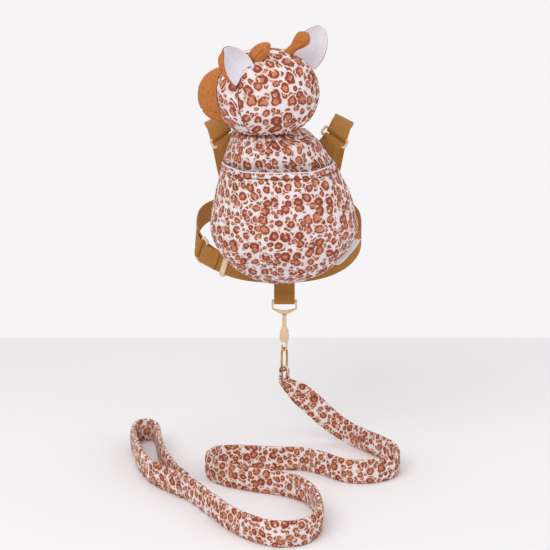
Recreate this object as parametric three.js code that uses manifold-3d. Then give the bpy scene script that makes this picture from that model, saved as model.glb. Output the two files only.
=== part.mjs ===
// Toddler harness backpack: a plush giraffe bag with webbing straps and a padded lead.
// Millimetres. X runs to the right of the bag as it is seen from behind the wearer,
// Y points away from the viewer into the wearer's back, and Z points up.
// The origin is on the back panel, where the bag meets the wearer.
import * as THREE from 'three';
import Module from 'manifold-3d';

const wasm = await Module();
wasm.setup();

// Clearance between touching pieces, and the grid on which equal corners are merged
const GAP = 0.3;
const WELD = 1e-4;

// Plush bag
const BODY_WIDTH = 177;
const BODY_HEIGHT = 185;
const BODY_DEPTH = 92;
const BODY_BOTTOM = -81;
const PLUSH = 3;
const PANEL = 3;
const NECK_CAP = 6;
const HEM_TOP = 62;
const HEM_HEIGHT = 6;
const HEM_PROUD = 1.2;
const MOUTH_GAP = 7.6;
const TUCK = 12;
const BODY_SQUARENESS = 2.4;
const GATHERS = 11;
const GATHER_DEPTH = 1.8;
const GATHER_HEIGHT = 26;
const BODY_COLUMNS = 33;
const BODY_TOP = BODY_BOTTOM + BODY_HEIGHT;

// White label sewn into the bag's right edge
const LABEL = { low: -62, high: -30, out: 9, under: 7, thick: 1.2 };

// Sections of the bag from its bottom to its neck, as shares: z of BODY_HEIGHT,
// half and lean of half BODY_WIDTH, depth of BODY_DEPTH
const BODY_SECTIONS = [
  { z: 0.000, half: 0.000, lean: -0.05, depth: 0.00 },
  { z: 0.008, half: 0.165, lean: -0.05, depth: 0.22 },
  { z: 0.027, half: 0.310, lean: -0.04, depth: 0.40 },
  { z: 0.080, half: 0.565, lean: -0.02, depth: 0.66 },
  { z: 0.180, half: 0.805, lean: -0.02, depth: 0.86 },
  { z: 0.270, half: 0.930, lean: -0.01, depth: 0.95 },
  { z: 0.370, half: 1.000, lean: 0.00, depth: 1.00 },
  { z: 0.460, half: 0.975, lean: -0.01, depth: 1.00 },
  { z: 0.590, half: 0.905, lean: -0.02, depth: 0.98 },
  { z: 0.700, half: 0.812, lean: -0.05, depth: 0.96 },
  { z: 0.830, half: 0.697, lean: -0.10, depth: 0.95 },
  { z: 0.930, half: 0.584, lean: -0.14, depth: 0.92 },
  { z: 1.000, half: 0.483, lean: -0.20, depth: 0.86 },
];

// Stuffed head and what is sewn to it. The muzzle's middle, the horns' feet and the ears'
// roots are shares of the head's half width, depth and height from its middle.
const HEAD = { width: 121, depth: 104, height: 104 };
const HEAD_SHIFT = { x: -20, y: -54 };
const HEAD_SINK = 6;
const MUZZLE = { width: 68, depth: 62, height: 67 };
const MUZZLE_MIDDLE = new THREE.Vector3(-0.767, 0.349, -0.078);
const HORN = { length: 34, base: 5.5, waist: 5, bulb: 9 };
const EAR_WALL = 3.5;
const LINING_WALL = 2;
const EARS = {
  left: {
    root: new THREE.Vector3(-0.40, -0.76, 0.40), reach: new THREE.Vector3(-0.52, -0.30, 0.80),
    face: new THREE.Vector3(0.40, -0.87, -0.05), length: 45, width: 34, cup: 8,
  },
  right: {
    root: new THREE.Vector3(0.661, 0.231, 0.654), reach: new THREE.Vector3(0.50, 0.05, 0.86),
    face: new THREE.Vector3(0.05, -1.0, 0.06), length: 51, width: 37, cup: 6,
  },
};
const HORNS = {
  left: {
    foot: new THREE.Vector3(-0.298, -0.462, 0.731), aim: new THREE.Vector3(0.62, -0.50, 0.60),
  },
  right: {
    foot: new THREE.Vector3(0.380, -0.173, 0.865), aim: new THREE.Vector3(0.70, -0.05, 0.68),
  },
};

// Sections of a horn above its base: up of its length, swell from its waist to its bulb
const HORN_SECTIONS = [
  { up: 0.30, swell: 0.00 },
  { up: 0.52, swell: 0.66 },
  { up: 0.72, swell: 1.00 },
  { up: 0.93, swell: 0.37 },
];

// An ear's outline and cup as shares of its length, and how bluntly the outline turns
const EAR_SHAPE = { root: 0.06, tip: 0.97, narrow: 0.25, blunt: 0.6, cupStart: 0.15, cupEnd: 0.85 };

// Webbing and its rectangular rings
const WEB_WIDTH = 25;
const WEB_THICK = 1.8;
const RING_BAR = 3.2;
const RING_WIDTH = 36;
const RING_SLOT = 7.4;
const FOLD_RADIUS = 3.5;
const FOLD_TAIL = 20;

// The waist strap runs round this oval, the wearer's girth
const GIRTH = { width: 204, depth: 136, centre: -6, back: 2, squareness: 2.6 };
const STRAP_LOW = -72;
const STRAP_HIGH = -10;
const STRAP_RISE = 1.6;
const RING_ANGLE = -60;
const RING_REACH = 9;
const ADJUSTER_ANGLE = -1.5;
const FOOT_ANGLE = 150;
const KEEPER_ANGLE = -34;
const KEEPER = { width: 31, length: 7, thick: 7.2 };

// Shoulder straps as shares: across of the spread from the wearer's middle, through of the
// girth's depth from back to front, and up of the top. The sewn piece climbs from the bag to
// the ring, and the strap goes over the shoulder and down the front.
const SHOULDER_SPREAD = 73;
const SHOULDER_TOP = 108;
const SHOULDER_SEWN = [
  { across: 0.62, through: 0.018, up: 0.60 },
  { across: 0.75, through: 0.030, up: 0.72 },
];
const SHOULDER_RING = { across: 0.90, through: 0.080, up: 0.84 };
const SHOULDER_OVER = [
  { across: 1.00, through: 0.14, up: 0.955 },
  { across: 1.08, through: 0.32, up: 1.00 },
  { across: 1.10, through: 0.55, up: 0.99 },
  { across: 1.07, through: 0.78, up: 0.87 },
  { across: 1.00, through: 0.93, up: 0.64 },
  { across: 0.93, through: 0.985, up: 0.38 },
];
const SHOULDER_EASE = 0.33;
const CHEST_HEIGHT = 55;
const RING_EASE = 3;
const LANDING = { rise: 19.5, drop: 7.5 };

// Tether below the bag: a webbing tab, a plastic snap hook and a metal ring
const TETHER_X = 0.5;
const TAB_TOP = -58;
const TAB_END = -110;
const HOOK_FRAME = {
  width: 31, bar: 3, side: 2.4, drop: 9, point: 8, thick: 3.4, tip: 3.6, notch: 3, web: 5.2, step: 1,
};
const HOOK_SHANK = 2.7;
const HOOK_BODY = 5.4;
const HOOK_LENGTH = 34;
const HOOK_TONGUE = { width: 2.6, thick: 2, radius: 3.4, drop: 7, hook: 3 };
const LEAD_RING = { width: 14, height: 31, wire: 2.8, turn: 55, blunt: 0.6 };

// The tab's front leg above its fold: up to the bag's bottom, close to the back leg
const TAB_FRONT = [
  { up: 0.26, close: 0.3 },
  { up: 0.54, close: 1.0 },
  { up: 1.00, close: 1.0 },
];

// Sections of the snap hook: down its length, swell from its shank to its body
const HOOK_SECTIONS = [
  { down: 0.00, swell: 0.00 },
  { down: 0.44, swell: 0.00 },
  { down: 0.47, swell: 0.30 },
  { down: 0.56, swell: 0.78 },
  { down: 0.65, swell: 1.00 },
  { down: 0.91, swell: 1.00 },
  { down: 1.00, swell: 0.48 },
];

// Lead, a flat padded tube that stands on its edge on the floor
const FLOOR = -285;
const LEAD_WIDTH = 28;
const LEAD_THICK = 7.5;
const LEAD_STEPS = 66;
const LOOP_STEPS = 34;
const LEAD_GATHERED = 0.5;
const GATHER_LENGTH = 34;
const LEAD_END = { width: 6.4, thick: 3, leg: 7.6, slack: 1.5 };
const LEAD_MIDDLE = FLOOR + LEAD_WIDTH / 2;
const LEAD_DIP = LEAD_MIDDLE + 0.9;

// The lead's eight-sided section, as shares of half its width and half its thickness
const LEAD_SECTION = [
  [-1, -0.45], [-0.8, -1], [0.8, -1], [1, -0.45], [1, 0.45], [0.8, 1], [-0.8, 1], [-1, 0.45],
];

// The lead's route from the ring to the hand loop, chosen by hand
const LEAD_ROUTE = [
  [0.5, -2.3, -203], [1.5, -2.2, -207], [6, -1.5, -212], [14, -1, -218], [29, -1, -231],
  [41, -1, -242], [53, -2, -253], [68, -6, -264], [83, -15, LEAD_DIP], [99, -38, LEAD_MIDDLE],
  [118, -66, LEAD_MIDDLE],
  [131, -95, LEAD_MIDDLE], [128, -125, LEAD_MIDDLE], [110, -145, LEAD_MIDDLE], [86, -151, LEAD_MIDDLE],
  [65, -143, LEAD_MIDDLE], [45, -122, LEAD_MIDDLE], [22, -107, LEAD_MIDDLE], [-4, -104, LEAD_MIDDLE],
  [-30, -101, LEAD_MIDDLE], [-58, -97, LEAD_MIDDLE], [-78, -101, LEAD_MIDDLE], [-88, -119, LEAD_MIDDLE],
  [-83, -142, LEAD_MIDDLE], [-62, -162, LEAD_MIDDLE], [-36, -176, LEAD_MIDDLE], [-8, -188, LEAD_MIDDLE],
  [14, -203, LEAD_MIDDLE], [29, -230, LEAD_MIDDLE], [36, -268, LEAD_MIDDLE], [34, -308, LEAD_MIDDLE],
  [16, -334, LEAD_MIDDLE], [-12, -338, LEAD_MIDDLE], [-36, -321, LEAD_MIDDLE], [-58, -294, LEAD_MIDDLE],
  [-78, -258, LEAD_MIDDLE], [-97, -221, LEAD_MIDDLE], [-112, -196, LEAD_MIDDLE],
];
const LOOP_ROUTE = [
  [-115.7, -197.8], [-120.8, -189.2], [-131, -177], [-145, -160], [-158, -136], [-170, -98], [-179, -55],
  [-184, -20], [-179, 0], [-167, 4], [-157, -10], [-152, -38], [-147, -75], [-138, -115],
  [-128, -150], [-119, -172], [-113.8, -185], [-108.7, -193.6],
];

const finishes = {
  spotted_plush: { color: 0xe3c5b4, roughness: 0.95 },
  caramel_plush: { color: 0xbe7a38, roughness: 0.95 },
  ear_plush: { color: 0xede8f0, roughness: 0.95 },
  webbing: { color: 0xa9772f, roughness: 0.8 },
  plastic: { color: 0xe3c99c, roughness: 0.45 },
  gold: { color: 0xc9983a, roughness: 0.3, metalness: 0.9 },
  label: { color: 0xeceaf2, roughness: 0.9 },
};

const bag = new THREE.Group();
const V = (x, y, z) => new THREE.Vector3(x, y, z);
const radians = THREE.MathUtils.degToRad;
const lerp = THREE.MathUtils.lerp;
const smoothstep = THREE.MathUtils.smoothstep;

// Give a closed geometry its name and finish, and hang it on the bag.
function add(name, geometry, finish) {
  const look = finishes[finish];
  const material = new THREE.MeshStandardMaterial({ metalness: 0, ...look });
  const mesh = new THREE.Mesh(geometry, material);
  mesh.name = name;
  bag.add(mesh);
  return mesh;
}

// Build a geometry with shared corners from points and triangles, faces outwards.
function closedGeometry(points, triangles) {
  const known = new Map();
  const kept = [];
  const index = points.map((p) => {
    const key = [p.x, p.y, p.z].map((value) => Math.round(value / WELD)).join(',');
    if (!known.has(key)) {
      known.set(key, kept.length);
      kept.push(p);
    }
    return known.get(key);
  });
  const faces = triangles.map((t) => t.map((i) => index[i]))
    .filter(([a, b, c]) => a !== b && b !== c && c !== a);
  const signed = ([a, b, c]) => kept[a].dot(V().crossVectors(kept[b], kept[c]));
  const volume = faces.reduce((sum, face) => sum + signed(face), 0);
  if (volume < 0) faces.forEach((face) => face.reverse());
  const geometry = new THREE.BufferGeometry().setFromPoints(kept);
  geometry.setIndex(faces.flat());
  return geometry;
}

// Join rings of points into a solid; open rows of rings get a fan at each end.
function loft(rings, closed = false) {
  const count = rings[0].length;
  const points = rings.flat();
  const triangles = [];
  const last = closed ? rings.length : rings.length - 1;
  for (let i = 0; i < last; i += 1) {
    const next = (i + 1) % rings.length;
    for (let j = 0; j < count; j += 1) {
      const a = i * count + j;
      const b = i * count + (j + 1) % count;
      const c = next * count + (j + 1) % count;
      const d = next * count + j;
      triangles.push([a, b, c], [a, c, d]);
    }
  }
  if (!closed) {
    for (const [row, turn] of [[0, 1], [rings.length - 1, -1]]) {
      const centre = rings[row].reduce((sum, p) => sum.add(p), V()).divideScalar(count);
      points.push(centre);
      for (let j = 0; j < count; j += 1) {
        const pair = [row * count + (j + 1) % count, row * count + j];
        triangles.push([points.length - 1, ...(turn > 0 ? pair : pair.reverse())]);
      }
    }
  }
  return closedGeometry(points, triangles);
}

// Join an outer and an inner grid of equal size along all four borders into a wall.
function wall(outer, inner) {
  const rows = outer.length;
  const columns = outer[0].length;
  const points = [...outer.flat(), ...inner.flat()];
  const inside = rows * columns;
  const triangles = [];
  const quad = (a, b, c, d) => triangles.push([a, b, c], [a, c, d]);
  for (let i = 0; i + 1 < rows; i += 1) {
    for (let j = 0; j + 1 < columns; j += 1) {
      const a = i * columns + j;
      quad(a, a + 1, a + columns + 1, a + columns);
      quad(inside + a, inside + a + columns, inside + a + columns + 1, inside + a + 1);
    }
  }
  const rim = (a, b) => quad(a, inside + a, inside + b, b);
  for (let j = 0; j + 1 < columns; j += 1) {
    rim(j, j + 1);
    rim((rows - 1) * columns + j + 1, (rows - 1) * columns + j);
  }
  for (let i = 0; i + 1 < rows; i += 1) {
    rim((i + 1) * columns, i * columns);
    rim(i * columns + columns - 1, (i + 1) * columns + columns - 1);
  }
  return closedGeometry(points, triangles);
}

// Take one closed geometry away from another.
function cut(geometry, tool) {
  const solid = (source) => new wasm.Manifold(new wasm.Mesh({
    numProp: 3,
    vertProperties: new Float32Array(source.getAttribute('position').array),
    triVerts: new Uint32Array(source.getIndex().array),
  }));
  const mesh = solid(geometry).subtract(solid(tool)).getMesh();
  const result = new THREE.BufferGeometry();
  result.setAttribute('position', new THREE.BufferAttribute(new Float32Array(mesh.vertProperties), 3));
  result.setIndex(Array.from(mesh.triVerts));
  return result;
}

// Read a column of a table of sections between its rows.
function readSection(table, at, column) {
  const share = THREE.MathUtils.clamp(at, 0, 1);
  const next = Math.max(1, table.findIndex((row) => row.z >= share));
  const [low, high] = [table[next - 1], table[next]];
  return lerp(low[column], high[column], (share - low.z) / (high.z - low.z));
}

// A point on the bag's D-shaped surface at a height and an angle, moved inwards by inset.
function bodyPoint(z, angle, inset) {
  const share = (z - BODY_BOTTOM) / BODY_HEIGHT;
  const half = BODY_WIDTH / 2;
  const ripple = GATHER_DEPTH * Math.cos(2 * GATHERS * angle)
    * smoothstep(z, BODY_TOP - GATHER_HEIGHT, BODY_TOP) * Math.sin(angle);
  const reach = Math.max(readSection(BODY_SECTIONS, share, 'half') * half - inset, 0);
  const depth = Math.max(readSection(BODY_SECTIONS, share, 'depth') * BODY_DEPTH - inset + ripple, 0);
  const power = 2 / BODY_SQUARENESS;
  const c = Math.cos(angle);
  const x = readSection(BODY_SECTIONS, share, 'lean') * half + reach * Math.sign(c) * Math.abs(c) ** power;
  return V(x, -PANEL - GAP - depth * Math.max(Math.sin(angle), 0) ** power, z);
}

const bodyAngles = Array.from({ length: BODY_COLUMNS }, (_, j) => (Math.PI * j) / (BODY_COLUMNS - 1));

// A row of the bag's surface at one height; inset may change with the angle.
function bodyRow(z, insetAt) {
  return bodyAngles.map((angle) => bodyPoint(z, angle, insetAt(angle)));
}

// A row gathered into one point on the back plane, which closes the bag there.
function bodyPole(z) {
  const p = bodyPoint(z, 0, BODY_WIDTH);
  return bodyAngles.map(() => p.clone());
}

function pocketPanel() {
  const rows = 12;
  const outer = [bodyPole(BODY_BOTTOM)];
  const inner = [bodyPole(BODY_BOTTOM + PLUSH)];
  for (let i = 1; i <= rows; i += 1) {
    const climb = 1 - Math.cos((Math.PI / 2) * (i / rows));
    const z = lerp(BODY_BOTTOM, HEM_TOP - HEM_HEIGHT, climb);
    outer.push(bodyRow(z, () => 0));
    inner.push(bodyRow(Math.max(z, BODY_BOTTOM + PLUSH), () => PLUSH));
  }
  for (const share of [0.15, 0.85, 1]) {
    const z = HEM_TOP - HEM_HEIGHT + HEM_HEIGHT * share;
    const proud = share < 1 ? HEM_PROUD : 0;
    outer.push(bodyRow(z, (angle) => -proud * Math.sin(angle)));
    inner.push(bodyRow(z, () => PLUSH));
  }
  return wall(outer, inner);
}

function upperPanel() {
  const rows = 8;
  const seat = PLUSH + GAP;
  const start = HEM_TOP - TUCK;
  const clear = HEM_TOP + GAP;
  const climbs = Array.from({ length: rows + 1 }, (_, i) => i / rows);
  const heights = [start, ...climbs.map((climb) => lerp(clear, BODY_TOP, climb))];
  const outer = [];
  const inner = [];
  for (const z of heights) {
    const free = smoothstep(z, clear, clear + HEM_HEIGHT);
    const inset = (angle) => seat * lerp(1, Math.sin(angle), free) + MOUTH_GAP * Math.sin(angle);
    const under = lerp(start, BODY_TOP - NECK_CAP, (z - start) / (BODY_TOP - start));
    outer.push(bodyRow(z, inset));
    inner.push(bodyRow(under, (angle) => inset(angle) + PLUSH));
  }
  outer.push(bodyPole(BODY_TOP));
  inner.push(bodyPole(BODY_TOP - NECK_CAP));
  return wall(outer, inner);
}

// The bag's outline on the back plane, moved outwards by grow.
function outline(from, to, grow, steps) {
  return Array.from({ length: steps + 1 }, (_, i) => {
    const z = lerp(from, to, i / steps);
    const share = (z - BODY_BOTTOM) / BODY_HEIGHT;
    const lean = readSection(BODY_SECTIONS, share, 'lean') * (BODY_WIDTH / 2);
    return [lean, readSection(BODY_SECTIONS, share, 'half') * (BODY_WIDTH / 2) + grow, z];
  });
}

// Extrude an outline given as [x, z] pairs along Y.
function plate(pairs, yFrom, thickness) {
  const shape = new THREE.Shape(pairs.map(([x, z]) => new THREE.Vector2(x, z)));
  const solid = new THREE.ExtrudeGeometry(shape, { depth: thickness, bevelEnabled: false });
  return indexed(solid.rotateX(Math.PI / 2).translate(0, yFrom + thickness, 0));
}

// Turn any of the library's geometries into one with shared corners.
function indexed(geometry) {
  const flat = geometry.index ? geometry.toNonIndexed() : geometry;
  const corners = flat.getAttribute('position');
  const points = Array.from({ length: corners.count }, (_, i) => V().fromBufferAttribute(corners, i));
  const triangles = Array.from({ length: corners.count / 3 }, (_, i) => [3 * i, 3 * i + 1, 3 * i + 2]);
  return closedGeometry(points, triangles);
}

function backPanel() {
  const steps = 22;
  const rows = outline(BODY_BOTTOM, BODY_TOP, 0, steps);
  const right = rows.map(([lean, half, z]) => [lean + half, z]);
  const left = rows.slice(1).reverse().map(([lean, half, z]) => [lean - half, z]);
  return plate([...right, ...left], -PANEL, PANEL);
}

function sideLabel() {
  const side = (grow) => outline(LABEL.low, LABEL.high, grow, 4)
    .map(([lean, half, z]) => [lean + half, z]);
  return plate([...side(LABEL.out), ...side(-LABEL.under).reverse()], GAP, LABEL.thick);
}

// Head, muzzle, horns and ears
const headCentre = V(HEAD_SHIFT.x, HEAD_SHIFT.y, BODY_TOP + HEAD.height / 2 - HEAD_SINK);
const headHalf = V(HEAD.width, HEAD.depth, HEAD.height).divideScalar(2);
const onHead = (share) => share.clone().multiply(headHalf).add(headCentre);

function ball(size, centre, across, up) {
  const solid = indexed(new THREE.SphereGeometry(0.5, across, up).rotateX(Math.PI / 2));
  return solid.scale(size.width, size.depth, size.height).translate(centre.x, centre.y, centre.z);
}

// The head's ball, grown by a clearance, with its bottom flattened where it sits on the neck.
function headBall(grow) {
  const more = 2 * grow;
  const size = { width: HEAD.width + more, depth: HEAD.depth + more, height: HEAD.height + more };
  const solid = ball(size, headCentre, 26, 18);
  const corners = solid.getAttribute('position');
  const seat = BODY_TOP + GAP - grow;
  for (let i = 0; i < corners.count; i += 1) {
    if (corners.getZ(i) < seat) corners.setZ(i, seat);
  }
  return solid;
}

function muzzle() {
  return cut(ball(MUZZLE, onHead(MUZZLE_MIDDLE), 20, 14), headBall(GAP));
}

function horn({ foot, aim }) {
  const sides = HORN_SECTIONS.map(({ up, swell }) => [lerp(HORN.waist, HORN.bulb, swell), up * HORN.length]);
  const profile = [[0, 0], [HORN.base, 0], ...sides, [0, HORN.length]]
    .map(([r, h]) => new THREE.Vector2(r, h));
  const solid = indexed(new THREE.LatheGeometry(profile, 12));
  const turn = new THREE.Quaternion().setFromUnitVectors(V(0, 1, 0), aim.clone().normalize());
  const at = onHead(foot);
  return cut(solid.applyQuaternion(turn).translate(at.x, at.y, at.z), headBall(GAP));
}

// A cupped leaf: half its width is a blunted sine of its length, and it bows back in the middle.
function earSheet(ear, offset) {
  const reach = ear.reach.clone().normalize();
  const across = V().crossVectors(reach, ear.face).normalize();
  const face = V().crossVectors(across, reach).normalize();
  const rows = 10;
  const columns = 8;
  const { root, tip, narrow, blunt, cupStart, cupEnd } = EAR_SHAPE;
  return Array.from({ length: rows + 1 }, (_, i) => Array.from({ length: columns + 1 }, (__, j) => {
    const v = lerp(root, tip, i / rows);
    const u = (2 * j) / columns - 1;
    const half = (ear.width / 2) * Math.sin(Math.PI * lerp(narrow, 1, v)) ** blunt;
    const bow = ear.cup * (u * u - 1) * Math.sin(Math.PI * lerp(cupStart, cupEnd, v));
    return onHead(ear.root).addScaledVector(reach, ear.length * (v - root))
      .addScaledVector(across, half * u).addScaledVector(face, bow + offset);
  }));
}

function earShell(ear, from, to) {
  return cut(wall(earSheet(ear, to), earSheet(ear, from)), headBall(GAP));
}

// Webbing: a flat ribbon along points, with the direction of its width at each of them
function ribbon(path, width = WEB_WIDTH, thickness = WEB_THICK) {
  const rings = path.map(({ point, side }, i) => {
    const before = path[Math.max(i - 1, 0)].point;
    const after = path[Math.min(i + 1, path.length - 1)].point;
    const face = V().crossVectors(V().subVectors(after, before), side).normalize();
    return [[-1, -1], [1, -1], [1, 1], [-1, 1]].map(([s, f]) => point.clone()
      .addScaledVector(side, (s * width) / 2).addScaledVector(face, (f * thickness) / 2));
  });
  return loft(rings);
}

// Where the waist strap lies at an angle from the middle of the back, with its directions.
function girth(angle) {
  const a = radians(angle);
  const power = 2 / GIRTH.squareness;
  const bend = (value) => Math.sign(value) * Math.abs(value) ** power;
  const [halfWidth, halfDepth] = [GIRTH.width / 2, GIRTH.depth / 2];
  const u = bend(Math.sin(a));
  const v = -bend(Math.cos(a));
  const steep = (value) => Math.sign(value) * Math.abs(value) ** (GIRTH.squareness - 1);
  const z = lerp(STRAP_HIGH, STRAP_LOW, ((1 + Math.cos(a)) / 2) ** STRAP_RISE);
  const y = GIRTH.back + WEB_THICK / 2 + GAP + halfDepth * (1 + v);
  return {
    point: V(GIRTH.centre + halfWidth * u, y, z),
    out: V(steep(u) / halfWidth, steep(v) / halfDepth, 0).normalize(),
  };
}

// The strap's line between two angles, with the direction of its width.
function girthPath(from, to, steps) {
  const at = (t) => girth(lerp(from, to, t));
  return Array.from({ length: steps + 1 }, (_, i) => {
    const t = i / steps;
    const here = at(t);
    const along = V().subVectors(at(t + 0.01).point, at(t - 0.01).point).normalize();
    return { point: here.point, along, out: here.out, side: V().crossVectors(here.out, along).normalize() };
  });
}

// A half turn round a ring's bar and a short tail back along the strap's outer side.
function foldOver(path, end, along, out, side) {
  const centre = end.clone().addScaledVector(out, FOLD_RADIUS);
  const steps = 6;
  const turn = Array.from({ length: steps + 1 }, (_, i) => {
    const a = (Math.PI * i) / steps;
    return {
      point: centre.clone().addScaledVector(out, -FOLD_RADIUS * Math.cos(a))
        .addScaledVector(along, FOLD_RADIUS * Math.sin(a)),
      side,
    };
  });
  const back = path.slice(0, -1).reverse().filter((at) => at.point.distanceTo(end) < FOLD_TAIL);
  const tail = back.map((at) => {
    const share = at.point.distanceTo(end) / FOLD_TAIL;
    const lift = lerp(2 * FOLD_RADIUS, WEB_THICK + GAP, smoothstep(share, 0, 0.8));
    return { point: at.point.clone().addScaledVector(at.out, lift), side };
  });
  return [...path, ...turn, ...tail];
}

// A rectangular ring in the plane of a strap, with its bars across the strap.
function ring(centre, along, side, out) {
  const length = RING_SLOT + 2 * RING_BAR;
  const frame = rectangle(RING_WIDTH, length);
  frame.holes.push(rectangle(RING_WIDTH - 2 * RING_BAR, RING_SLOT));
  const solid = new THREE.ExtrudeGeometry(frame, { depth: RING_BAR, bevelEnabled: false });
  return turned(solid.translate(0, 0, -RING_BAR / 2), centre, side, along, out);
}

function rectangle(width, height) {
  const [x, y] = [width / 2, height / 2];
  return new THREE.Shape([[-x, -y], [x, -y], [x, y], [-x, y]].map(([a, b]) => new THREE.Vector2(a, b)));
}

// Move a geometry drawn on the axes to a place and three directions at right angles.
function turned(geometry, centre, xAxis, yAxis, zAxis) {
  const x = xAxis.clone().normalize();
  const y = yAxis.clone().addScaledVector(x, -x.dot(yAxis)).normalize();
  const z = V().crossVectors(x, y);
  if (z.dot(zAxis) < 0) y.negate();
  z.crossVectors(x, y);
  return indexed(geometry.applyMatrix4(new THREE.Matrix4().makeBasis(x, y, z).setPosition(centre)));
}

const barOffset = (RING_SLOT + RING_BAR) / 2;

function waist() {
  const here = girthPath(RING_ANGLE, RING_ANGLE + 1, 1)[0];
  const ringCentre = here.point.clone().addScaledVector(here.out, FOLD_RADIUS);
  add('waist_ring', ring(ringCentre, here.along, here.side, here.out), 'plastic');
  const endAt = (sign) => here.point.clone().addScaledVector(here.along, sign * barOffset);

  const around = girthPath(0, 360 + RING_ANGLE - RING_REACH, 60);
  const long = foldOver(around, endAt(-1), here.along, here.out, here.side);
  add('waist_strap', ribbon(long), 'webbing');
  const short = girthPath(ADJUSTER_ANGLE, RING_ANGLE + RING_REACH, 14);
  const back = here.along.clone().negate();
  const tail = foldOver(short, endAt(1), back, here.out, here.side.clone().negate());
  add('adjuster_strap', ribbon(tail), 'webbing');
}

function tailKeeper() {
  const at = girthPath(KEEPER_ANGLE, KEEPER_ANGLE + 1, 1)[0];
  const outer = rectangle(KEEPER.width, KEEPER.thick);
  const room = WEB_THICK + 2 * GAP;
  outer.holes.push(rectangle(WEB_WIDTH + 4 * GAP, room));
  const solid = new THREE.ExtrudeGeometry(outer, { depth: KEEPER.length, bevelEnabled: false });
  return turned(solid.translate(0, 0, -KEEPER.length / 2), at.point, at.side, at.out, at.along);
}

// Shoulder straps
const chestMiddle = GIRTH.back + GIRTH.depth / 2;

function shoulderFrame(point, along) {
  const out = V((point.x - GIRTH.centre) * SHOULDER_EASE, point.y - chestMiddle,
    Math.max(point.z - CHEST_HEIGHT, 0)).normalize();
  const side = V().crossVectors(out, along).normalize();
  return { point, along, side, out: V().crossVectors(along, side).normalize() };
}

function shoulderPoint(hand, row) {
  return V(GIRTH.centre + hand * row.across * SHOULDER_SPREAD,
    WEB_THICK / 2 + GAP + row.through * GIRTH.depth, row.up * SHOULDER_TOP);
}

// Evenly spaced frames on a smooth curve through the points.
function smoothPath(points, steps) {
  const curve = new THREE.CatmullRomCurve3(points, false, 'centripetal');
  return Array.from({ length: steps + 1 }, (_, i) => {
    const t = i / steps;
    return shoulderFrame(curve.getPointAt(t), curve.getTangentAt(t));
  });
}

function shoulder(side, hand) {
  const climb = SHOULDER_SEWN.map((row) => shoulderPoint(hand, row));
  const over = SHOULDER_OVER.map((row) => shoulderPoint(hand, row));
  const middle = shoulderPoint(hand, SHOULDER_RING);
  const along = V().subVectors(over[0], climb[climb.length - 1]).normalize();
  const here = shoulderFrame(middle, along);
  const centre = middle.clone().addScaledVector(here.out, FOLD_RADIUS);
  add(`shoulder_ring_${side}`, ring(centre, along, here.side, here.out), 'plastic');

  const upper = middle.clone().addScaledVector(along, barOffset);
  const foot = girth(hand * FOOT_ANGLE);
  const lift = foot.point.clone().addScaledVector(foot.out, WEB_THICK + 2 * GAP);
  const above = lift.clone().add(V(0, 0, LANDING.rise));
  const below = lift.clone().add(V(0, 0, -LANDING.drop));
  const leave = upper.clone().addScaledVector(along, RING_EASE);
  const down = smoothPath([leave, ...over, above, lift, below], 34).reverse();
  down.forEach((at) => at.side.negate());
  const back = along.clone().negate();
  const folded = foldOver(down, upper, back, here.out, here.side.clone().negate());
  add(`shoulder_strap_${side}`, ribbon(folded), 'webbing');

  const lower = middle.clone().addScaledVector(along, -barOffset);
  const sewn = smoothPath([...climb, lower.clone().addScaledVector(along, -RING_EASE)], 6);
  add(`bag_strap_${side}`, ribbon(foldOver(sewn, lower, along, here.out, here.side)), 'webbing');
}

// Tether tab: down behind the bag, round the snap hook's bar and up in front of itself.
function tetherTab() {
  const back = WEB_THICK / 2 + GAP;
  const radius = FOLD_RADIUS;
  const centre = V(TETHER_X, back - radius, TAB_END + radius + WEB_THICK / 2);
  const side = V(1, 0, 0);
  const steps = 6;
  const line = Array.from({ length: steps }, (_, i) => (
    { point: V(TETHER_X, back, lerp(TAB_TOP, centre.z, i / steps)), side }
  ));
  const turn = Array.from({ length: steps + 1 }, (_, i) => {
    const a = (Math.PI * i) / steps;
    return { point: centre.clone().add(V(0, radius * Math.cos(a), -radius * Math.sin(a))), side };
  });
  const front = TAB_FRONT.map(({ up, close }) => {
    const y = lerp(centre.y - radius, back - WEB_THICK - GAP, close);
    return { point: V(TETHER_X, y, lerp(centre.z, BODY_BOTTOM - PLUSH, up)), side };
  });
  return { geometry: ribbon([...line, ...turn, ...front]), bar: centre };
}

function hookFrame(bar) {
  const frame = HOOK_FRAME;
  const w = frame.width / 2;
  const i = w - frame.side;
  const top = bar.z + frame.bar / 2;
  const mid = top - frame.bar - frame.drop;
  const tip = bar.z - frame.drop - frame.point;
  const mirrored = (right) => [...right.map(([x, z]) => [-x, z]), ...right.reverse()]
    .map(([x, z]) => new THREE.Vector2(x, z));
  const outer = new THREE.Shape(mirrored([[w, top], [w, mid], [frame.tip, tip]]));
  const inside = [[i, top - frame.bar], [i, mid + frame.step], [frame.notch, tip + frame.web]];
  outer.holes.push(new THREE.Path(mirrored(inside)));
  const solid = new THREE.ExtrudeGeometry(outer, { depth: frame.thick, bevelEnabled: false });
  return { geometry: indexed(solid.rotateX(Math.PI / 2).translate(bar.x, bar.y + frame.thick / 2, 0)), tip };
}

function hookBody(bar, top) {
  const sides = HOOK_SECTIONS.map(({ down, swell }) => (
    [lerp(HOOK_SHANK, HOOK_BODY, swell), -down * HOOK_LENGTH]
  ));
  const profile = [[0, 0], ...sides, [0, -HOOK_LENGTH]].map(([r, z]) => new THREE.Vector2(r, z));
  const solid = indexed(new THREE.LatheGeometry(profile, 14)).rotateX(Math.PI / 2);
  return solid.translate(bar.x, bar.y, top - GAP);
}

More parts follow.
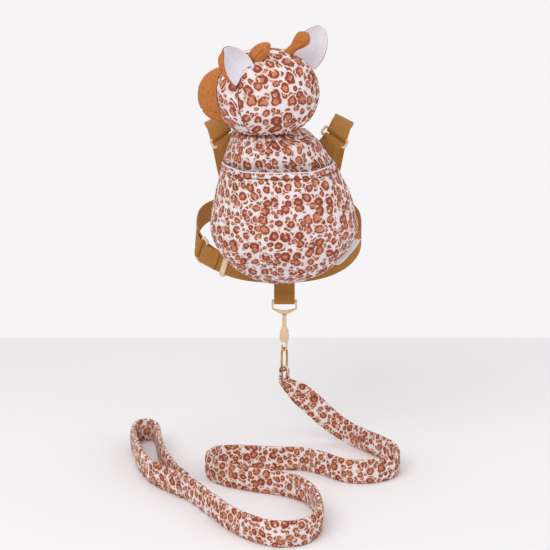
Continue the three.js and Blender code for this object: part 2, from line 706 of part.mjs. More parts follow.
// The hook's tongue: a flat J that runs down, under the metal ring's wire and up again.
function hookTongue(bar, top) {
  const { width, thick, radius, drop, hook } = HOOK_TONGUE;
  const { side, front } = ringAxes();
  const at = (forward, down) => (
    { point: V(bar.x, bar.y, top - GAP - down).addScaledVector(front, forward), side }
  );
  const bend = halfTurn((c, s) => at(radius * c, drop + radius * s));
  return ribbon([at(radius, 0), at(radius, drop / 2), ...bend, at(-radius, drop - hook)], width, thick);
}

// The metal ring's width and the way that it faces, level and at right angles.
function ringAxes() {
  const turn = radians(LEAD_RING.turn);
  return { side: V(Math.cos(turn), Math.sin(turn), 0), front: V(Math.sin(turn), -Math.cos(turn), 0) };
}

// The points of a half turn, from the cosine and the sine of each angle.
function halfTurn(at, steps = 8) {
  return Array.from({ length: steps + 1 }, (_, i) => {
    const a = (Math.PI * i) / steps;
    return at(Math.cos(a), Math.sin(a));
  });
}

// The metal ring is a long oval of round wire, turned half away from the viewer.
function leadRing(centre) {
  const { width, height, wire, turn, blunt } = LEAD_RING;
  const steps = 20;
  const sides = 6;
  const bend = (value, size) => ((size - wire) / 2) * Math.sign(value) * Math.abs(value) ** blunt;
  const rings = Array.from({ length: steps }, (_, i) => {
    const a = (2 * Math.PI * i) / steps;
    const out = V(Math.cos(a) * height, 0, Math.sin(a) * width).normalize();
    const middle = V(bend(Math.cos(a), width), 0, bend(Math.sin(a), height));
    return Array.from({ length: sides }, (__, j) => {
      const b = (2 * Math.PI * j) / sides;
      const through = V(0, (wire / 2) * Math.sin(b), 0);
      return middle.clone().addScaledVector(out, (wire / 2) * Math.cos(b)).add(through);
    });
  });
  const solid = loft(rings, true).rotateZ(radians(turn));
  return solid.translate(centre.x, centre.y, centre.z);
}

// A flat padded tube along points, whose width stays as upright as its path lets it.
function leadTube(points, steps, gathered = 1) {
  const curve = new THREE.CatmullRomCurve3(points, false, 'centripetal');
  const gather = GATHER_LENGTH / curve.getLength();
  const rings = Array.from({ length: steps + 1 }, (_, i) => {
    const t = i / steps;
    const point = curve.getPointAt(t);
    const width = LEAD_WIDTH * lerp(gathered, 1, smoothstep(t, 0, gather));
    const along = curve.getTangentAt(t);
    const side = V(0, 0, 1).addScaledVector(along, -along.z).normalize();
    const face = V().crossVectors(along, side).normalize();
    return LEAD_SECTION.map(([s, f]) => point.clone()
      .addScaledVector(side, (s * width) / 2).addScaledVector(face, (f * LEAD_THICK) / 2));
  });
  return loft(rings);
}

// The lead's gathered end: a strip that goes over the metal ring's low wire, both legs down.
function leadEnd(wireTop) {
  const { width, thick, leg, slack } = LEAD_END;
  const radius = LEAD_RING.wire / 2 + GAP + slack + thick / 2;
  const { side, front } = ringAxes();
  const middle = wireTop.clone().add(V(0, 0, -LEAD_RING.wire / 2));
  const at = (forward, rise) => (
    { point: middle.clone().addScaledVector(front, forward).add(V(0, 0, rise)), side }
  );
  const bend = halfTurn((c, s) => at(radius * c, radius * s));
  return ribbon([at(radius, -leg), ...bend, at(-radius, -leg)], width, thick);
}

function tether() {
  const { geometry, bar } = tetherTab();
  add('tether_tab', geometry, 'webbing');
  const frame = hookFrame(bar);
  add('hook_frame', frame.geometry, 'plastic');
  add('hook_body', hookBody(bar, frame.tip), 'plastic');
  const under = frame.tip - GAP - HOOK_LENGTH;
  add('hook_tongue', hookTongue(bar, under), 'plastic');
  const { drop, radius, thick } = HOOK_TONGUE;
  const wireLow = under - GAP - drop - radius + thick / 2 + GAP;
  const centre = V(bar.x, bar.y, wireLow + LEAD_RING.wire - LEAD_RING.height / 2);
  add('lead_ring', leadRing(centre), 'gold');
  const lowWire = centre.clone().add(V(0, 0, LEAD_RING.wire - LEAD_RING.height / 2));
  add('lead_end', leadEnd(lowWire), 'spotted_plush');
}

function build() {
  add('back_panel', backPanel(), 'spotted_plush');
  add('upper_panel', upperPanel(), 'spotted_plush');
  add('pocket_panel', pocketPanel(), 'spotted_plush');
  add('side_label', sideLabel(), 'label');
  add('head', headBall(0), 'spotted_plush');
  add('muzzle', muzzle(), 'caramel_plush');
  for (const hand of ['left', 'right']) {
    const ear = EARS[hand];
    add(`ear_${hand}`, earShell(ear, -EAR_WALL, 0), 'caramel_plush');
    add(`ear_lining_${hand}`, earShell(ear, GAP, GAP + LINING_WALL), 'ear_plush');
    add(`horn_${hand}`, horn(HORNS[hand]), 'caramel_plush');
  }
  shoulder('left', -1);
  shoulder('right', 1);
  waist();
  add('tail_keeper', tailKeeper(), 'plastic');
  tether();
  const route = LEAD_ROUTE.map((p) => V(...p));
  add('lead', leadTube(route, LEAD_STEPS, LEAD_GATHERED), 'spotted_plush');
  add('hand_loop', leadTube(LOOP_ROUTE.map(([x, y]) => V(x, y, LEAD_MIDDLE)), LOOP_STEPS), 'spotted_plush');
}

build();

export default bag;
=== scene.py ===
"""Toddler harness backpack: a spotted plush giraffe bag, its webbing harness and its padded lead.

Sizes in the tables are millimetres, in the part's own frame: X to the right as the bag is seen
from behind the wearer, Y into the wearer's back, Z up. Each mesh is made in metres.
"""
import math

import bmesh
import bpy
import numpy as np
from bpy.props import FloatProperty, FloatVectorProperty, PointerProperty
from bpy.types import Operator, Panel, PropertyGroup
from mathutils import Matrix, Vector


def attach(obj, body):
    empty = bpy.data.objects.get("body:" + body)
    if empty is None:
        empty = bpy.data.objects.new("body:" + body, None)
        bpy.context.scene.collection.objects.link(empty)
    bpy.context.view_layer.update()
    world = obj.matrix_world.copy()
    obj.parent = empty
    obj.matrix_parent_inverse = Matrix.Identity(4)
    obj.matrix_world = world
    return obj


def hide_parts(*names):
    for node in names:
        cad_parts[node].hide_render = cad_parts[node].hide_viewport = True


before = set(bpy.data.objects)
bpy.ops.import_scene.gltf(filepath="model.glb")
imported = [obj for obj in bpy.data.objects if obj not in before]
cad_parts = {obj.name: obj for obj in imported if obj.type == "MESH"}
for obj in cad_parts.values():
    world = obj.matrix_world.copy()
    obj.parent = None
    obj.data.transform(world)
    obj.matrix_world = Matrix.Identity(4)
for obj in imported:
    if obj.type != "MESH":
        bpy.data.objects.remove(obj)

bl_info = {
    "name": "Harness backpack",
    "version": (1, 0, 0),
    "blender": (4, 5, 0),
    "location": "View3D > Sidebar > Backpack",
    "description": "Builds a plush giraffe harness backpack with its straps and lead",
    "category": "Add Mesh",
}

MM, GAP, TINY = 0.001, 0.3, 1e-9
TURN = 2 * math.pi
UP = np.array([0.0, 0.0, 1.0])

# Bag: width, height and depth, its lowest point, and the wall of plush
BODY_WIDTH, BODY_HEIGHT, BODY_DEPTH = 177, 185, 92
BODY_BOTTOM, BODY_TOP = -81, 104
PLUSH, PANEL, SQUARENESS = 3, 3, 2.4
# Columns from edge to edge, and how much closer together they stand near both edges
BODY_COLUMNS, CROWDING = 180, 0.35
# Hem: its top, height, how far it stands out and how round its upper edge is
HEM_TOP, HEM_HEIGHT, HEM_PROUD, HEM_ROUND = 62, 6, 1.2, 1.3
HEM_LINE = HEM_TOP - HEM_HEIGHT
# Upper panel: its gap to the hem, how deep it is tucked in, and how it swells above the mouth
MOUTH_GAP, TUCK, REST_OUT, REST = 7.6, 12, 4.2, (1, 16)
GATHERS, GATHER_HEIGHT = 11, 26

# Sections of the bag as shares: height, half width, lean, depth
HALF, LEAN, DEEP = 1, 2, 3
BODY_SECTIONS = np.array([
    (0.000, 0.000, -0.05, 0.00), (0.008, 0.165, -0.05, 0.22), (0.027, 0.310, -0.04, 0.40),
    (0.080, 0.565, -0.02, 0.66), (0.180, 0.805, -0.02, 0.86), (0.270, 0.930, -0.01, 0.95),
    (0.370, 1.000, 0.00, 1.00), (0.460, 0.975, -0.01, 1.00), (0.590, 0.905, -0.02, 0.98),
    (0.700, 0.812, -0.05, 0.96), (0.830, 0.697, -0.10, 0.95), (0.930, 0.584, -0.14, 0.92),
    (1.000, 0.483, -0.20, 0.86),
])

# Relief of the stuffed cloth. Lumps: height, size, seed. Tucks: height at an edge and low down, size, seed
LUMPS = ((0.7, 70, 5), (0.28, 34, 6))
TUCK_EDGE, TUCK_LOW, TUCK_SIZE, TUCK_SEED, TUCK_STRETCH, TUCK_REACH = 0.5, 0.55, 3.2, 7, 30, 34
# The back panel's unevenness as height, size and seed, a gap that keeps edges apart, the upper print's start
QUILT, THIN_EDGE, PRINT_START = (0.35, 46, 21), 0.01, 60
# Hem: its wave and the groove of its stitch line, the stitch line's thread and the pale edging
HEM_WAVE, HEM_WAVE_SIZE, HEM_WAVE_SEED, HEM_WAVE_TURN, HEM_WAVE_FROM = 0.8, 6, 11, 26, 48
STITCH_DEPTH, STITCH_WIDTH, STITCH_BELOW, STITCH_THREAD, STITCH_PROUD = 1.4, 1.0, 0.6, 0.4, 0.3
EDGING, EDGING_PLACE, HEM_POINTS = 0.8, np.array([0, 0.2, 0.7]), 260
# How much the hem rises towards both ends, where across, and from which height
END_LIFT, END_LIFT_AT, END_LIFT_FROM = 2.6, (0.52, 0.86), 30
# Fold beside the neck: its place, depth and width, and the swellings on both sides of it
FOLD_X, FOLD_Z, FOLD_DEPTH, FOLD_WIDTH, FOLD_HEIGHT, FOLD_LEAN = 9, 80, 4.6, 1.9, 15, 0.05
FOLD_MIDDLE, FOLD_WANDER, SWELL, SWELL_HEIGHT, SWELLS = 78, (1.2, 4), 2.0, 16, ((3, 4.5), (16, 5))
# Neck: its fine folds' share of the gathers, count and start, and the rounding of its top
NECK_FINE, NECK_WAVES, NECK_SHIFT, NECK_FROM, NECK_ROUND, NECK_TOP = 0.8, 4.6, 1.0, 84, 2.0, (4, 6)

# How many rows the pocket has up to the hem, just below it and on it; the others as rows and columns.
# An edge's number is the power that rounds it: the higher, the sharper
POCKET_ROWS, HEM_START, HEM_BEND, HEM_EDGE, ROLL_EDGE = (80, 18, 14), 8, 0.04, 7, 4
UPPER_ROWS, BACK_GRID, BACK_EDGE, LABEL_GRID, LABEL_EDGE = (8, 60, 12), (90, 41), (14, 0.02), (24, 18), 12
STITCH_SKIP, EDGING_SKIP = 4, 9

# Label in the bag's right edge: its lowest and highest point, and how far it stands out
LABEL_LOW, LABEL_HIGH, LABEL_OUT, LABEL_UNDER, LABEL_THICK, LABEL_DROOP = -62, -30, 11, 7, 1.2, 1.2

# Head and what is sewn to it, as shares of the head's half sizes from its middle
HEAD_HALF = np.array([60.5, 52, 52])
HEAD_MIDDLE = np.array([-20, -54, 150])
MUZZLE_HALF = np.array([34, 31, 33.5])
MUZZLE_PLACE = np.array([-0.767, 0.349, -0.078])
HORN_LENGTH, HORN_WAIST, HORN_BULB, HORN_DOME, HORN_LEAF = 34, 5, 9, 0.72, 9.3
HORN_SECTIONS = np.array([
    (0.00, 0.12), (0.30, 0.00), (0.52, 0.66), (0.72, 1.00), (0.86, 0.78), (0.95, 0.10), (1.00, -1.25),
])
HORNS = {
    "left": {"foot": (-0.298, -0.462, 0.731), "aim": (0.62, -0.50, 0.60), "almond": 1.0, "seam_at": 1.5},
    "right": {"foot": (0.380, -0.173, 0.865), "aim": (0.70, -0.05, 0.68), "almond": 0.0, "seam_at": 2.2},
}
# The left horn's leaf: start and run of its sine and its power, and what a horn's width is square to
HORN_ALMOND, HORN_LEAN = (0.11, 0.89, 0.6), (0, 1, 0.2)
EAR_WALL, LINING_WALL, EAR_START, EAR_END, EAR_WIDEN, EAR_CREASE = 3.5, 2, 0.06, 0.97, 1.05, 0.8
EARS = {
    "left": {
        "root": (-0.40, -0.76, 0.40), "reach": (-0.52, -0.30, 0.80), "face": (0.40, -0.87, -0.05),
        "length": 45, "width": 34, "cup": 8,
    },
    "right": {
        "root": (0.661, 0.231, 0.654), "reach": (0.50, 0.05, 0.86), "face": (0.05, -1.0, 0.06),
        "length": 51, "width": 37, "cup": 6,
    },
}
# Ears: how sharp their edges are, a leaf's and a bow's start and run, the crease, then rows and columns
EAR_EDGE, ROLL_GRID, HORN_GRID, MUZZLE_GRID = (10, 14), (60, 28), (60, 72), (64, 96)
EAR_LEAF, EAR_BOW, EAR_GRID, CREASE = (0.25, 0.75, 0.6), (0.15, 0.7), (56, 52), (0.35, 0.3, 0.10)
# The left ear's rolled edge: its radius, how it tapers and closes, and where it lies
ROLL, ROLL_LEAST, ROLL_DOME, ROLL_INSET, ROLL_PROUD = 4.3, 0.25, 0.86, 0.55, 1.5
ROLL_SKIP, ROLL_TAPER = 4, 0.75

# Relief of the head: its seams' longitudes, and the puckers, gathers and lumps
HEAD_SEAMS, HEAD_STEP, HEAD_ROWS, SEAM_WIDTH, SEAM_FADE = (-33.0, 72.0, 205.0), 2.0, 110, 2.3, 0.3
BESIDE, PUCKER, PUCKER_WAVES, PUCKER_SEED = (4, 5), 0.35, 9, 400
CHIN, CHIN_GATHER, CHIN_WAVES = (-1.35, -0.55), 3.0, (17, 0.6, 5)
HEAD_LUMPS, NECK_FLAT, SEEN_SEAMS, SEAM_SKIP, SEAM_THREAD, SEAM_PROUD = (0.5, 42, 31), 0.02, 90, 12, 0.6, 0.15
MUZZLE_SEAM, MUZZLE_SEAM_WIDTH, MUZZLE_TILT, MUZZLE_LUMPS = -0.62, 0.035, 0.10, (0.45, 22, 41, 30)
HORN_GROOVE, HORN_SEAM_WIDTH, HORN_PUCKER, HORN_PUCKERS, PUCKER_WIDTH, HORN_BARE = 0.8, 0.11, 0.35, 95, 0.3, 2

# Webbing, its rings and the wearer's girth that it goes round
RING_BAR, RING_WIDTH, RING_SLOT, RING_CORNERS, RING_BLUNT = 3.2, 36, 7.4, (0.26, 0.36), 0.62
FOLD_RADIUS, FOLD_TAIL, TAIL_RISE = 3.5, 20, 0.8
GIRTH = {"width": 204, "depth": 136, "centre": -6, "back": 2, "squareness": 2.6}
STRAP_LOW, STRAP_HIGH, STRAP_RISE = -72, -10, 1.6
STRAP_BLUNT, SELVEDGE, SELVEDGE_AT, STRAP_SIDES = 0.30, 0.10, (0.82, 0.93), 28
# Angles round the waist, in degrees from the middle of the back
RING_ANGLE, RING_REACH, ADJUSTER_ANGLE, FOOT_ANGLE, KEEPER_ANGLE = -60, 9, -1.5, 150, -34
# How many points along and round: rings, the keeper, the waist's two straps, the shoulder's two, a fold
RING_GRID, KEEPER_GRID, BEND_POINTS = (120, 16), (20, 96), 18
WAIST_POINTS, SHOULDER_POINTS = (420, 110), (260, 40)
# The keeper, and how blunted its outer and inner outlines and its edge are
KEEPER_WIDTH, KEEPER_LENGTH, KEEPER_THICK = 31, 7, 7.2
KEEPER_OUTER, KEEPER_INNER, KEEPER_BLUNT = (0.28, 0.45), (0.2, 0.3), 0.5
# Shoulder straps: rows are shares of the spread, the girth's depth and the shoulder's height
SHOULDER_SPREAD, SHOULDER_TOP, SHOULDER_EASE, CHEST_HEIGHT, RING_EASE = 73, 108, 0.33, 55, 3
LANDING_RISE, LANDING_DROP = 19.5, 7.5
SHOULDER_SEWN = [(0.62, 0.018, 0.60), (0.75, 0.030, 0.72)]
SHOULDER_RING = (0.90, 0.080, 0.84)
SHOULDER_OVER = [
    (1.00, 0.14, 0.955), (1.08, 0.32, 1.00), (1.10, 0.55, 0.99),
    (1.07, 0.78, 0.87), (1.00, 0.93, 0.64), (0.93, 0.985, 0.38),
]

# Tether tab, snap hook and metal ring
TETHER_X, TAB_TOP, TAB_END = 0.5, -58, -110
# How many points: the tab, the frame, the rivet, the hook, the tongue, the ring and the gathered end
TAB_POINTS, FRAME_POINTS, RIVET_GRID, HOOK_GRID = (20, 90), (400, 220, 24), (9, 32), (90, 40)
TONGUE_POINTS, LINK_GRID, END_POINTS = (8, 24, 60, 14), (140, 18), (8, 24, 16)
TAB_FRONT = [(0.26, 0.3), (0.54, 1.0), (1.00, 1.0)]
FRAME_WIDTH, FRAME_BAR, FRAME_SIDE, FRAME_DROP, FRAME_POINT, FRAME_THICK = 31, 3, 2.4, 9, 8, 3.4
FRAME_TIP, FRAME_NOTCH, FRAME_WEB, FRAME_STEP, FRAME_BLUNT, FRAME_HEART = 3.6, 3, 5.2, 1, 0.6, 3
FRAME_SOFTEN = (14, 10)
RIVET_RADIUS, RIVET_PROUD, RIVET_RISE, RIVET_SUNK, RIVET_BLUNT = 1.7, 0.7, 0.2, 0.4, 0.6
HOOK_SHANK, HOOK_BODY, HOOK_LENGTH = 2.7, 5.4, 34
HOOK_SECTIONS = np.array([
    (0.00, 0.10), (0.02, 0.00), (0.22, 0.00), (0.38, 0.00), (0.43, 0.00), (0.47, 0.30), (0.50, 0.52),
    (0.56, 0.82), (0.62, 0.97), (0.66, 1.00), (0.70, 0.90), (0.72, 1.00), (0.90, 1.00), (0.96, 0.86),
    (1.00, 0.48),
])
TONGUE_WIDTH, TONGUE_THICK, TONGUE_RADIUS, TONGUE_DROP, TONGUE_HOOK, TONGUE_BLUNT = 2.6, 2, 3.4, 7, 3, 0.6
LINK_WIDTH, LINK_HEIGHT, LINK_WIRE, LINK_TURN, LINK_BLUNT = 14, 31, 2.8, 55, 0.6
END_WIDTH, END_THICK, END_LEG, END_SLACK, END_BLUNT = 6.4, 3, 11.6, 1.5, 0.7

# Lead: it stands on its edge on the floor, and its route repeats that of the solids
FLOOR, LEAD_WIDTH, LEAD_THICK, LEAD_GATHERED, GATHER_LENGTH = -285, 28, 7.5, 0.5, 34
LEAD_SIDES, LEAD_BLUNT, LEAD_FACE_BLUNT, LEAD_REST = 44, 0.72, 0.62, 0.15
# Relief of the lead, as height and size, and the dimples beside its two edges
LEAD_LUMPS, LEAD_PUCKERS, LEAD_SEWN = (0.3, 34), (0.4, 6), 0.9
LEAD_FOLDS, FOLDS_COUNT, FOLDS_END = 0.8, 5, (4, 26)
DIMPLE, DIMPLE_CHANGE, DIMPLE_AT, DIMPLE_WIDTH = 0.8, (0.35, 9), 0.80, 0.07
LEAD_MIDDLE, LEAD_POINTS, LOOP_POINTS = FLOOR + LEAD_WIDTH / 2, 760, 420
LEAD_HANGING = [
    (0.5, -2.3, -203), (1.5, -2.2, -207), (6, -1.5, -212), (14, -1, -218), (29, -1, -231),
    (41, -1, -242), (53, -2, -253), (68, -6, -264), (83, -15, LEAD_MIDDLE + 0.9),
]
LEAD_LYING = [
    (99, -38), (118, -66), (131, -95), (128, -125), (110, -145), (86, -151), (65, -143), (45, -122),
    (22, -107), (-4, -104), (-30, -101), (-58, -97), (-78, -101), (-88, -119), (-83, -142), (-62, -162),
    (-36, -176), (-8, -188), (14, -203), (29, -230), (36, -268), (34, -308), (16, -334), (-12, -338),
    (-36, -321), (-58, -294), (-78, -258), (-97, -221), (-112, -196),
]
LOOP_LYING = [
    (-115.7, -197.8), (-120.8, -189.2), (-131, -177), (-145, -160), (-158, -136), (-170, -98),
    (-179, -55), (-184, -20), (-179, 0), (-167, 4), (-157, -10), (-152, -38), (-147, -75),
    (-138, -115), (-128, -150), (-119, -172), (-113.8, -185), (-108.7, -193.6),
]

# Camera: where it stands, how far it looks down, its lens and sensor, and what it can see
CAMERA_PLACE, CAMERA_PITCH, CAMERA_LENS, CAMERA_SENSOR = (-10.89, -1775.34, 303.14), 12, 98.18, 36
CAMERA_NEAR, CAMERA_FAR = 0.05, 50
FLOOR_END, FLOOR_REACH, FLOOR_DROP, FLOOR_LINES = 520, 3500, 0.6, 9
# Lights in metres: place, what they are turned to, size and colour
LIGHTS = {
    "key": ((-0.9, -1.5, 1.5), (0, 0, -0.05), 1.5, (1.0, 0.985, 0.97)),
    "top": ((0.2, 0.7, 2.3), (0, 0.25, FLOOR * MM), 2.2, (1.0, 0.995, 0.985)),
    "fill": ((1.5, -1.1, 0.8), (0, 0, -0.1), 1.2, (0.97, 0.98, 1.0)),
}
AIR_COLOUR = (0.985, 0.985, 1.0)


# Settings
def colour_property(name, description, default):
    """A linear colour that a user can change."""
    return FloatVectorProperty(
        name=name, description=description, default=default, subtype="COLOR", size=3, min=0, max=1)


def length_property(name, description, default):
    """A length in metres that a user can change."""
    return FloatProperty(
        name=name, description=description, default=default, subtype="DISTANCE", unit="LENGTH", min=0)


def power_property(name, description, default):
    """A light's power in watts that a user can change."""
    return FloatProperty(name=name, description=description, default=default, min=0, unit="POWER")


class PlushSettings(PropertyGroup):
    """Colours and relief of the plush."""

    ground: colour_property("Ground", "Pale ground between the spots", (0.86, 0.81, 0.87))
    halo: colour_property("Halo", "Cream tint round each spot", (0.88, 0.66, 0.50))
    rim: colour_property("Rim", "Rust rim of a spot", (0.255, 0.042, 0.024))
    core: colour_property("Core", "Lighter middle of a spot", (0.66, 0.255, 0.125))
    caramel: colour_property("Caramel", "Plush of the muzzle, horns and ears' backs", (0.58, 0.20, 0.052))
    lining: colour_property("Lining", "Plush of the ears' insides and the hem's edge", (0.83, 0.80, 0.87))
    body_spot: length_property("Body spot", "Distance between large spots on the bag", 0.0130)
    head_spot: length_property("Head spot", "Distance between large spots on the head", 0.0160)
    lead_spot: length_property("Lead spot", "Distance between large spots on the lead", 0.0108)
    gather: length_property("Gather", "Depth of the gathers at the neck", 0.0026)
    seam: length_property("Seam", "Depth of a seam in the plush", 0.0017)


class HarnessSettings(PropertyGroup):
    """Sizes and colours of the webbing and the fittings."""

    webbing: colour_property("Webbing", "Olive caramel webbing", (0.49, 0.212, 0.046))
    plastic: colour_property("Plastic", "Pale moulded rings and hook", (0.80, 0.58, 0.36))
    metal: colour_property("Metal", "Plated ring on the lead", (0.62, 0.34, 0.13))
    label: colour_property("Label", "Bare woven label", (0.90, 0.89, 0.93))
    width: length_property("Webbing width", "Width of the webbing", 0.025)
    thick: length_property("Webbing thickness", "Thickness of the webbing", 0.0018)


class StageSettings(PropertyGroup):
    """Light and backdrop."""

    key: power_property("Key", "Power of the large light", 20)
    fill: power_property("Fill", "Power of the side light", 5)
    top: power_property("Top", "Power of the light overhead", 12)
    air: FloatProperty(name="Air", description="Strength of the even light", default=0.63, min=0)
    backdrop: colour_property("Backdrop", "Wall behind the floor", (0.925, 0.905, 0.915))
    paper: colour_property("Paper", "Floor", (0.90, 0.885, 0.895))
    floor_end: length_property("Floor's end", "Distance from the bag to the floor's far edge", FLOOR_END * MM)


# Shapes as arrays
LINE_STEPS = 40
WAVES, WAVE_SPREAD, WAVE_SUM = 6, (0.7, 1.6), 3.5
CAP_ROWS = (1.0, 0.6, 0.0)
MERGE, THIN, THREAD_LEAN = 2e-6, 1e-7, (0.0, 0.3, 0.2)


def unit(vectors):
    """Each vector divided by its length."""
    return vectors / np.maximum(np.linalg.norm(vectors, axis=-1, keepdims=True), TINY)


def turn(count):
    """Angles of a full turn in equal steps."""
    return np.linspace(0, TURN, count, endpoint=False)


def smoothstep(value, low, high):
    """Zero below low, one above high, and 3t squared minus 2t cubed between them."""
    t = np.clip((value - low) / (high - low), 0, 1)
    return t * t * (3 - 2 * t)


def bump(value, middle, width):
    """A bell of height one: e to the minus square of the distance from its middle over its width."""
    return np.exp(-((value - middle) / width) ** 2)


def power(value, exponent):
    """The value's size to a power, with its sign kept."""
    return np.sign(value) * np.abs(value) ** exponent


def domed(t, start):
    """One up to the start, and from there to 1 a quarter circle down to zero."""
    return np.sqrt(np.clip(1 - (np.maximum(t - start, 0) / (1 - start)) ** 2, 0, 1))


def through_rows(table, column, share):
    """A cubic through a table's rows, whose slope in each row is that of its neighbours' chord."""
    x, y = table[:, 0], table[:, column]
    slope = np.gradient(y, x)
    share = np.clip(share, x[0], x[-1])
    i = np.clip(np.searchsorted(x, share, side="right") - 1, 0, len(x) - 2)
    h = x[i + 1] - x[i]
    t = (share - x[i]) / h
    rise = (1 + 2 * t) * (1 - t) ** 2 * y[i] + t * t * (3 - 2 * t) * y[i + 1]
    return rise + h * (t * (1 - t) ** 2 * slope[i] - t * t * (1 - t) * slope[i + 1])


def curve_through(points, count):
    """Equally spaced points on a cubic curve through the given ones.

    Between two points the curve is a cubic with the slopes of the centripetal spline: the time
    between points is the root of their distance, and the slope is the difference quotient.
    """
    p = np.vstack([2 * points[0] - points[1], points, 2 * points[-1] - points[-2]])
    dt = np.sqrt(np.linalg.norm(np.diff(p, axis=0), axis=1))[:, None]
    a, b, c, d = p[:-3], p[1:-2], p[2:-1], p[3:]
    before, during, after = dt[:-2], dt[1:-1], dt[2:]
    start = ((b - a) / before - (c - a) / (before + during) + (c - b) / during) * during
    end = ((c - b) / during - (d - b) / (during + after) + (d - c) / after) * during
    t = np.linspace(0, 1, LINE_STEPS, endpoint=False)[None, :, None]
    b, c, start, end = b[:, None], c[:, None], start[:, None], end[:, None]
    dense = b + start * t + (3 * (c - b) - 2 * start - end) * t ** 2 + (2 * (b - c) + start + end) * t ** 3
    return evenly(np.vstack([dense.reshape(-1, 3), points[-1:]]), count)


def evenly(points, count):
    """Points resampled at equal steps of their length along the line."""
    walked = walk(points)
    at = np.linspace(0, walked[-1], count)
    return np.stack([np.interp(at, walked, points[:, k]) for k in range(points.shape[1])], 1)


def evenly_round(points, count):
    """The same for a line that closes on its start."""
    return evenly(np.vstack([points, points[:1]]), count + 1)[:-1]


def walk(points):
    """How far along the line each point lies."""
    return np.concatenate([[0], np.cumsum(np.linalg.norm(np.diff(points, axis=0), axis=1))])


def slopes(points):
    """The direction of the line in each point: the next point less the one before."""
    return unit(np.gradient(points, axis=0))


def noise(points, size, seed):
    """A smooth mix of sine waves in fixed odd directions, from -1 to 1, about size long."""
    random = np.random.default_rng(seed)
    ways = unit(random.normal(size=(WAVES, points.shape[-1]))) * random.uniform(*WAVE_SPREAD, (WAVES, 1))
    phases = random.uniform(0, TURN, WAVES)
    return np.sin(points @ ways.T * (TURN / size) + phases).sum(-1) / WAVE_SUM


def line_noise(values, size, seed):
    """The same for single numbers, such as lengths along a line."""
    return noise(np.stack([values, 0 * values], -1), size, seed)


def grid_normals(grid):
    """The outward direction in each point: the cross product of the grid's two slopes."""
    return unit(np.cross(np.gradient(grid, axis=0), np.gradient(grid, axis=1)))


def clear_of_head(points, clearance=GAP):
    """Points inside the head's ellipsoid are moved out along their rays to its surface."""
    half = HEAD_HALF + clearance
    away = (points - HEAD_MIDDLE) / half
    distance = np.linalg.norm(away, axis=-1, keepdims=True)
    return np.where(distance < 1, HEAD_MIDDLE + away / np.maximum(distance, TINY) * half, points)


# Meshes
def part(grid, uv=None, wrap=(False, False), flip=False, look=0):
    """A grid's quads, with the pattern's place in each of their corners."""
    rows, columns = grid.shape[:2]
    index = np.arange(rows * columns).reshape(rows, columns)
    if wrap[0]:
        index = np.vstack([index, index[:1]])
    if wrap[1]:
        index = np.hstack([index, index[:, :1]])
    if uv is None:
        uv = np.stack(np.meshgrid(*map(np.arange, index.shape[::-1])), -1).astype(float)

    def corners(a):
        return np.stack([a[:-1, :-1], a[:-1, 1:], a[1:, 1:], a[1:, :-1]], 2)

    quads = corners(index).reshape(-1, 4)
    places = corners(uv).reshape(-1, 4, 2)
    if flip:
        quads, places = quads[:, ::-1], places[:, ::-1]
    return {"points": grid.reshape(-1, 3), "quads": quads, "uv": places, "look": look}


def cap(ring, flip=False, look=0):
    """A ring of points closed by a flat fan round its middle, mapped by X and Z."""
    middle = ring.mean(0)
    rows = np.stack([middle + (ring - middle) * share for share in CAP_ROWS])
    flat = np.concatenate([rows, rows[:, :1]], 1)[..., ::2]
    return part(rows, flat, (False, True), flip, look)


def tube(grid, uv=None, look=0, closed=False):
    """A grid of rings as a tube, with a cap on both ends unless it closes on its start."""
    skin = [part(grid, uv, (closed, True), look=look)]
    return skin if closed else skin + [cap(grid[0], False, look), cap(grid[-1], True, look)]


def make(name, parts, finishes, slot, node):
    """One named piece from its parts, in metres, with merged seams and poles."""
    starts = np.cumsum([0] + [len(p["points"]) for p in parts[:-1]])
    quads = np.vstack([p["quads"] + start for p, start in zip(parts, starts)])
    look = np.concatenate([np.full(len(p["quads"]), p["look"]) for p in parts])
    mesh = bpy.data.meshes.new(name)
    mesh.from_pydata((np.vstack([p["points"] for p in parts]) * MM).tolist(), [], quads.tolist())
    layer = mesh.uv_layers.new(name="cloth")
    layer.data.foreach_set("uv", (np.vstack([p["uv"] for p in parts]) * MM).reshape(-1))
    for finish in finishes:
        mesh.materials.append(finish_of(finish))
    mesh.polygons.foreach_set("material_index", look.astype(np.int32))
    work = bmesh.new()
    work.from_mesh(mesh)
    bmesh.ops.remove_doubles(work, verts=work.verts, dist=MERGE)
    bmesh.ops.dissolve_degenerate(work, edges=work.edges, dist=THIN)
    work.to_mesh(mesh)
    work.free()
    mesh.polygons.foreach_set("use_smooth", np.ones(len(mesh.polygons), bool))
    mesh.update()
    piece = bpy.data.objects.new(name, mesh)
    bpy.context.scene.collection.objects.link(piece)
    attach(piece, "root")
    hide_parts(node)
    return piece


def round_section(width, thick, blunt, count):
    """A blunted oval: cosine and sine, each to its power, times half the width and thickness."""
    a = turn(count)
    wide, deep = np.broadcast_to(blunt, 2)
    return np.stack([power(np.cos(a), wide) * width / 2, power(np.sin(a), deep) * thick / 2], 1)


def sweep(path, side, section, look=0):
    """A section carried along a path: path + side times its first number + face times its second."""
    side = np.broadcast_to(side, path.shape)
    face = np.cross(slopes(path), side)
    grid = path[:, None] + side[:, None] * section[:, :1] + face[:, None] * section[:, 1:]
    uv = np.stack(np.meshgrid(walk(np.vstack([section, section[:1]])), walk(path)), -1)
    return tube(grid, uv, look)


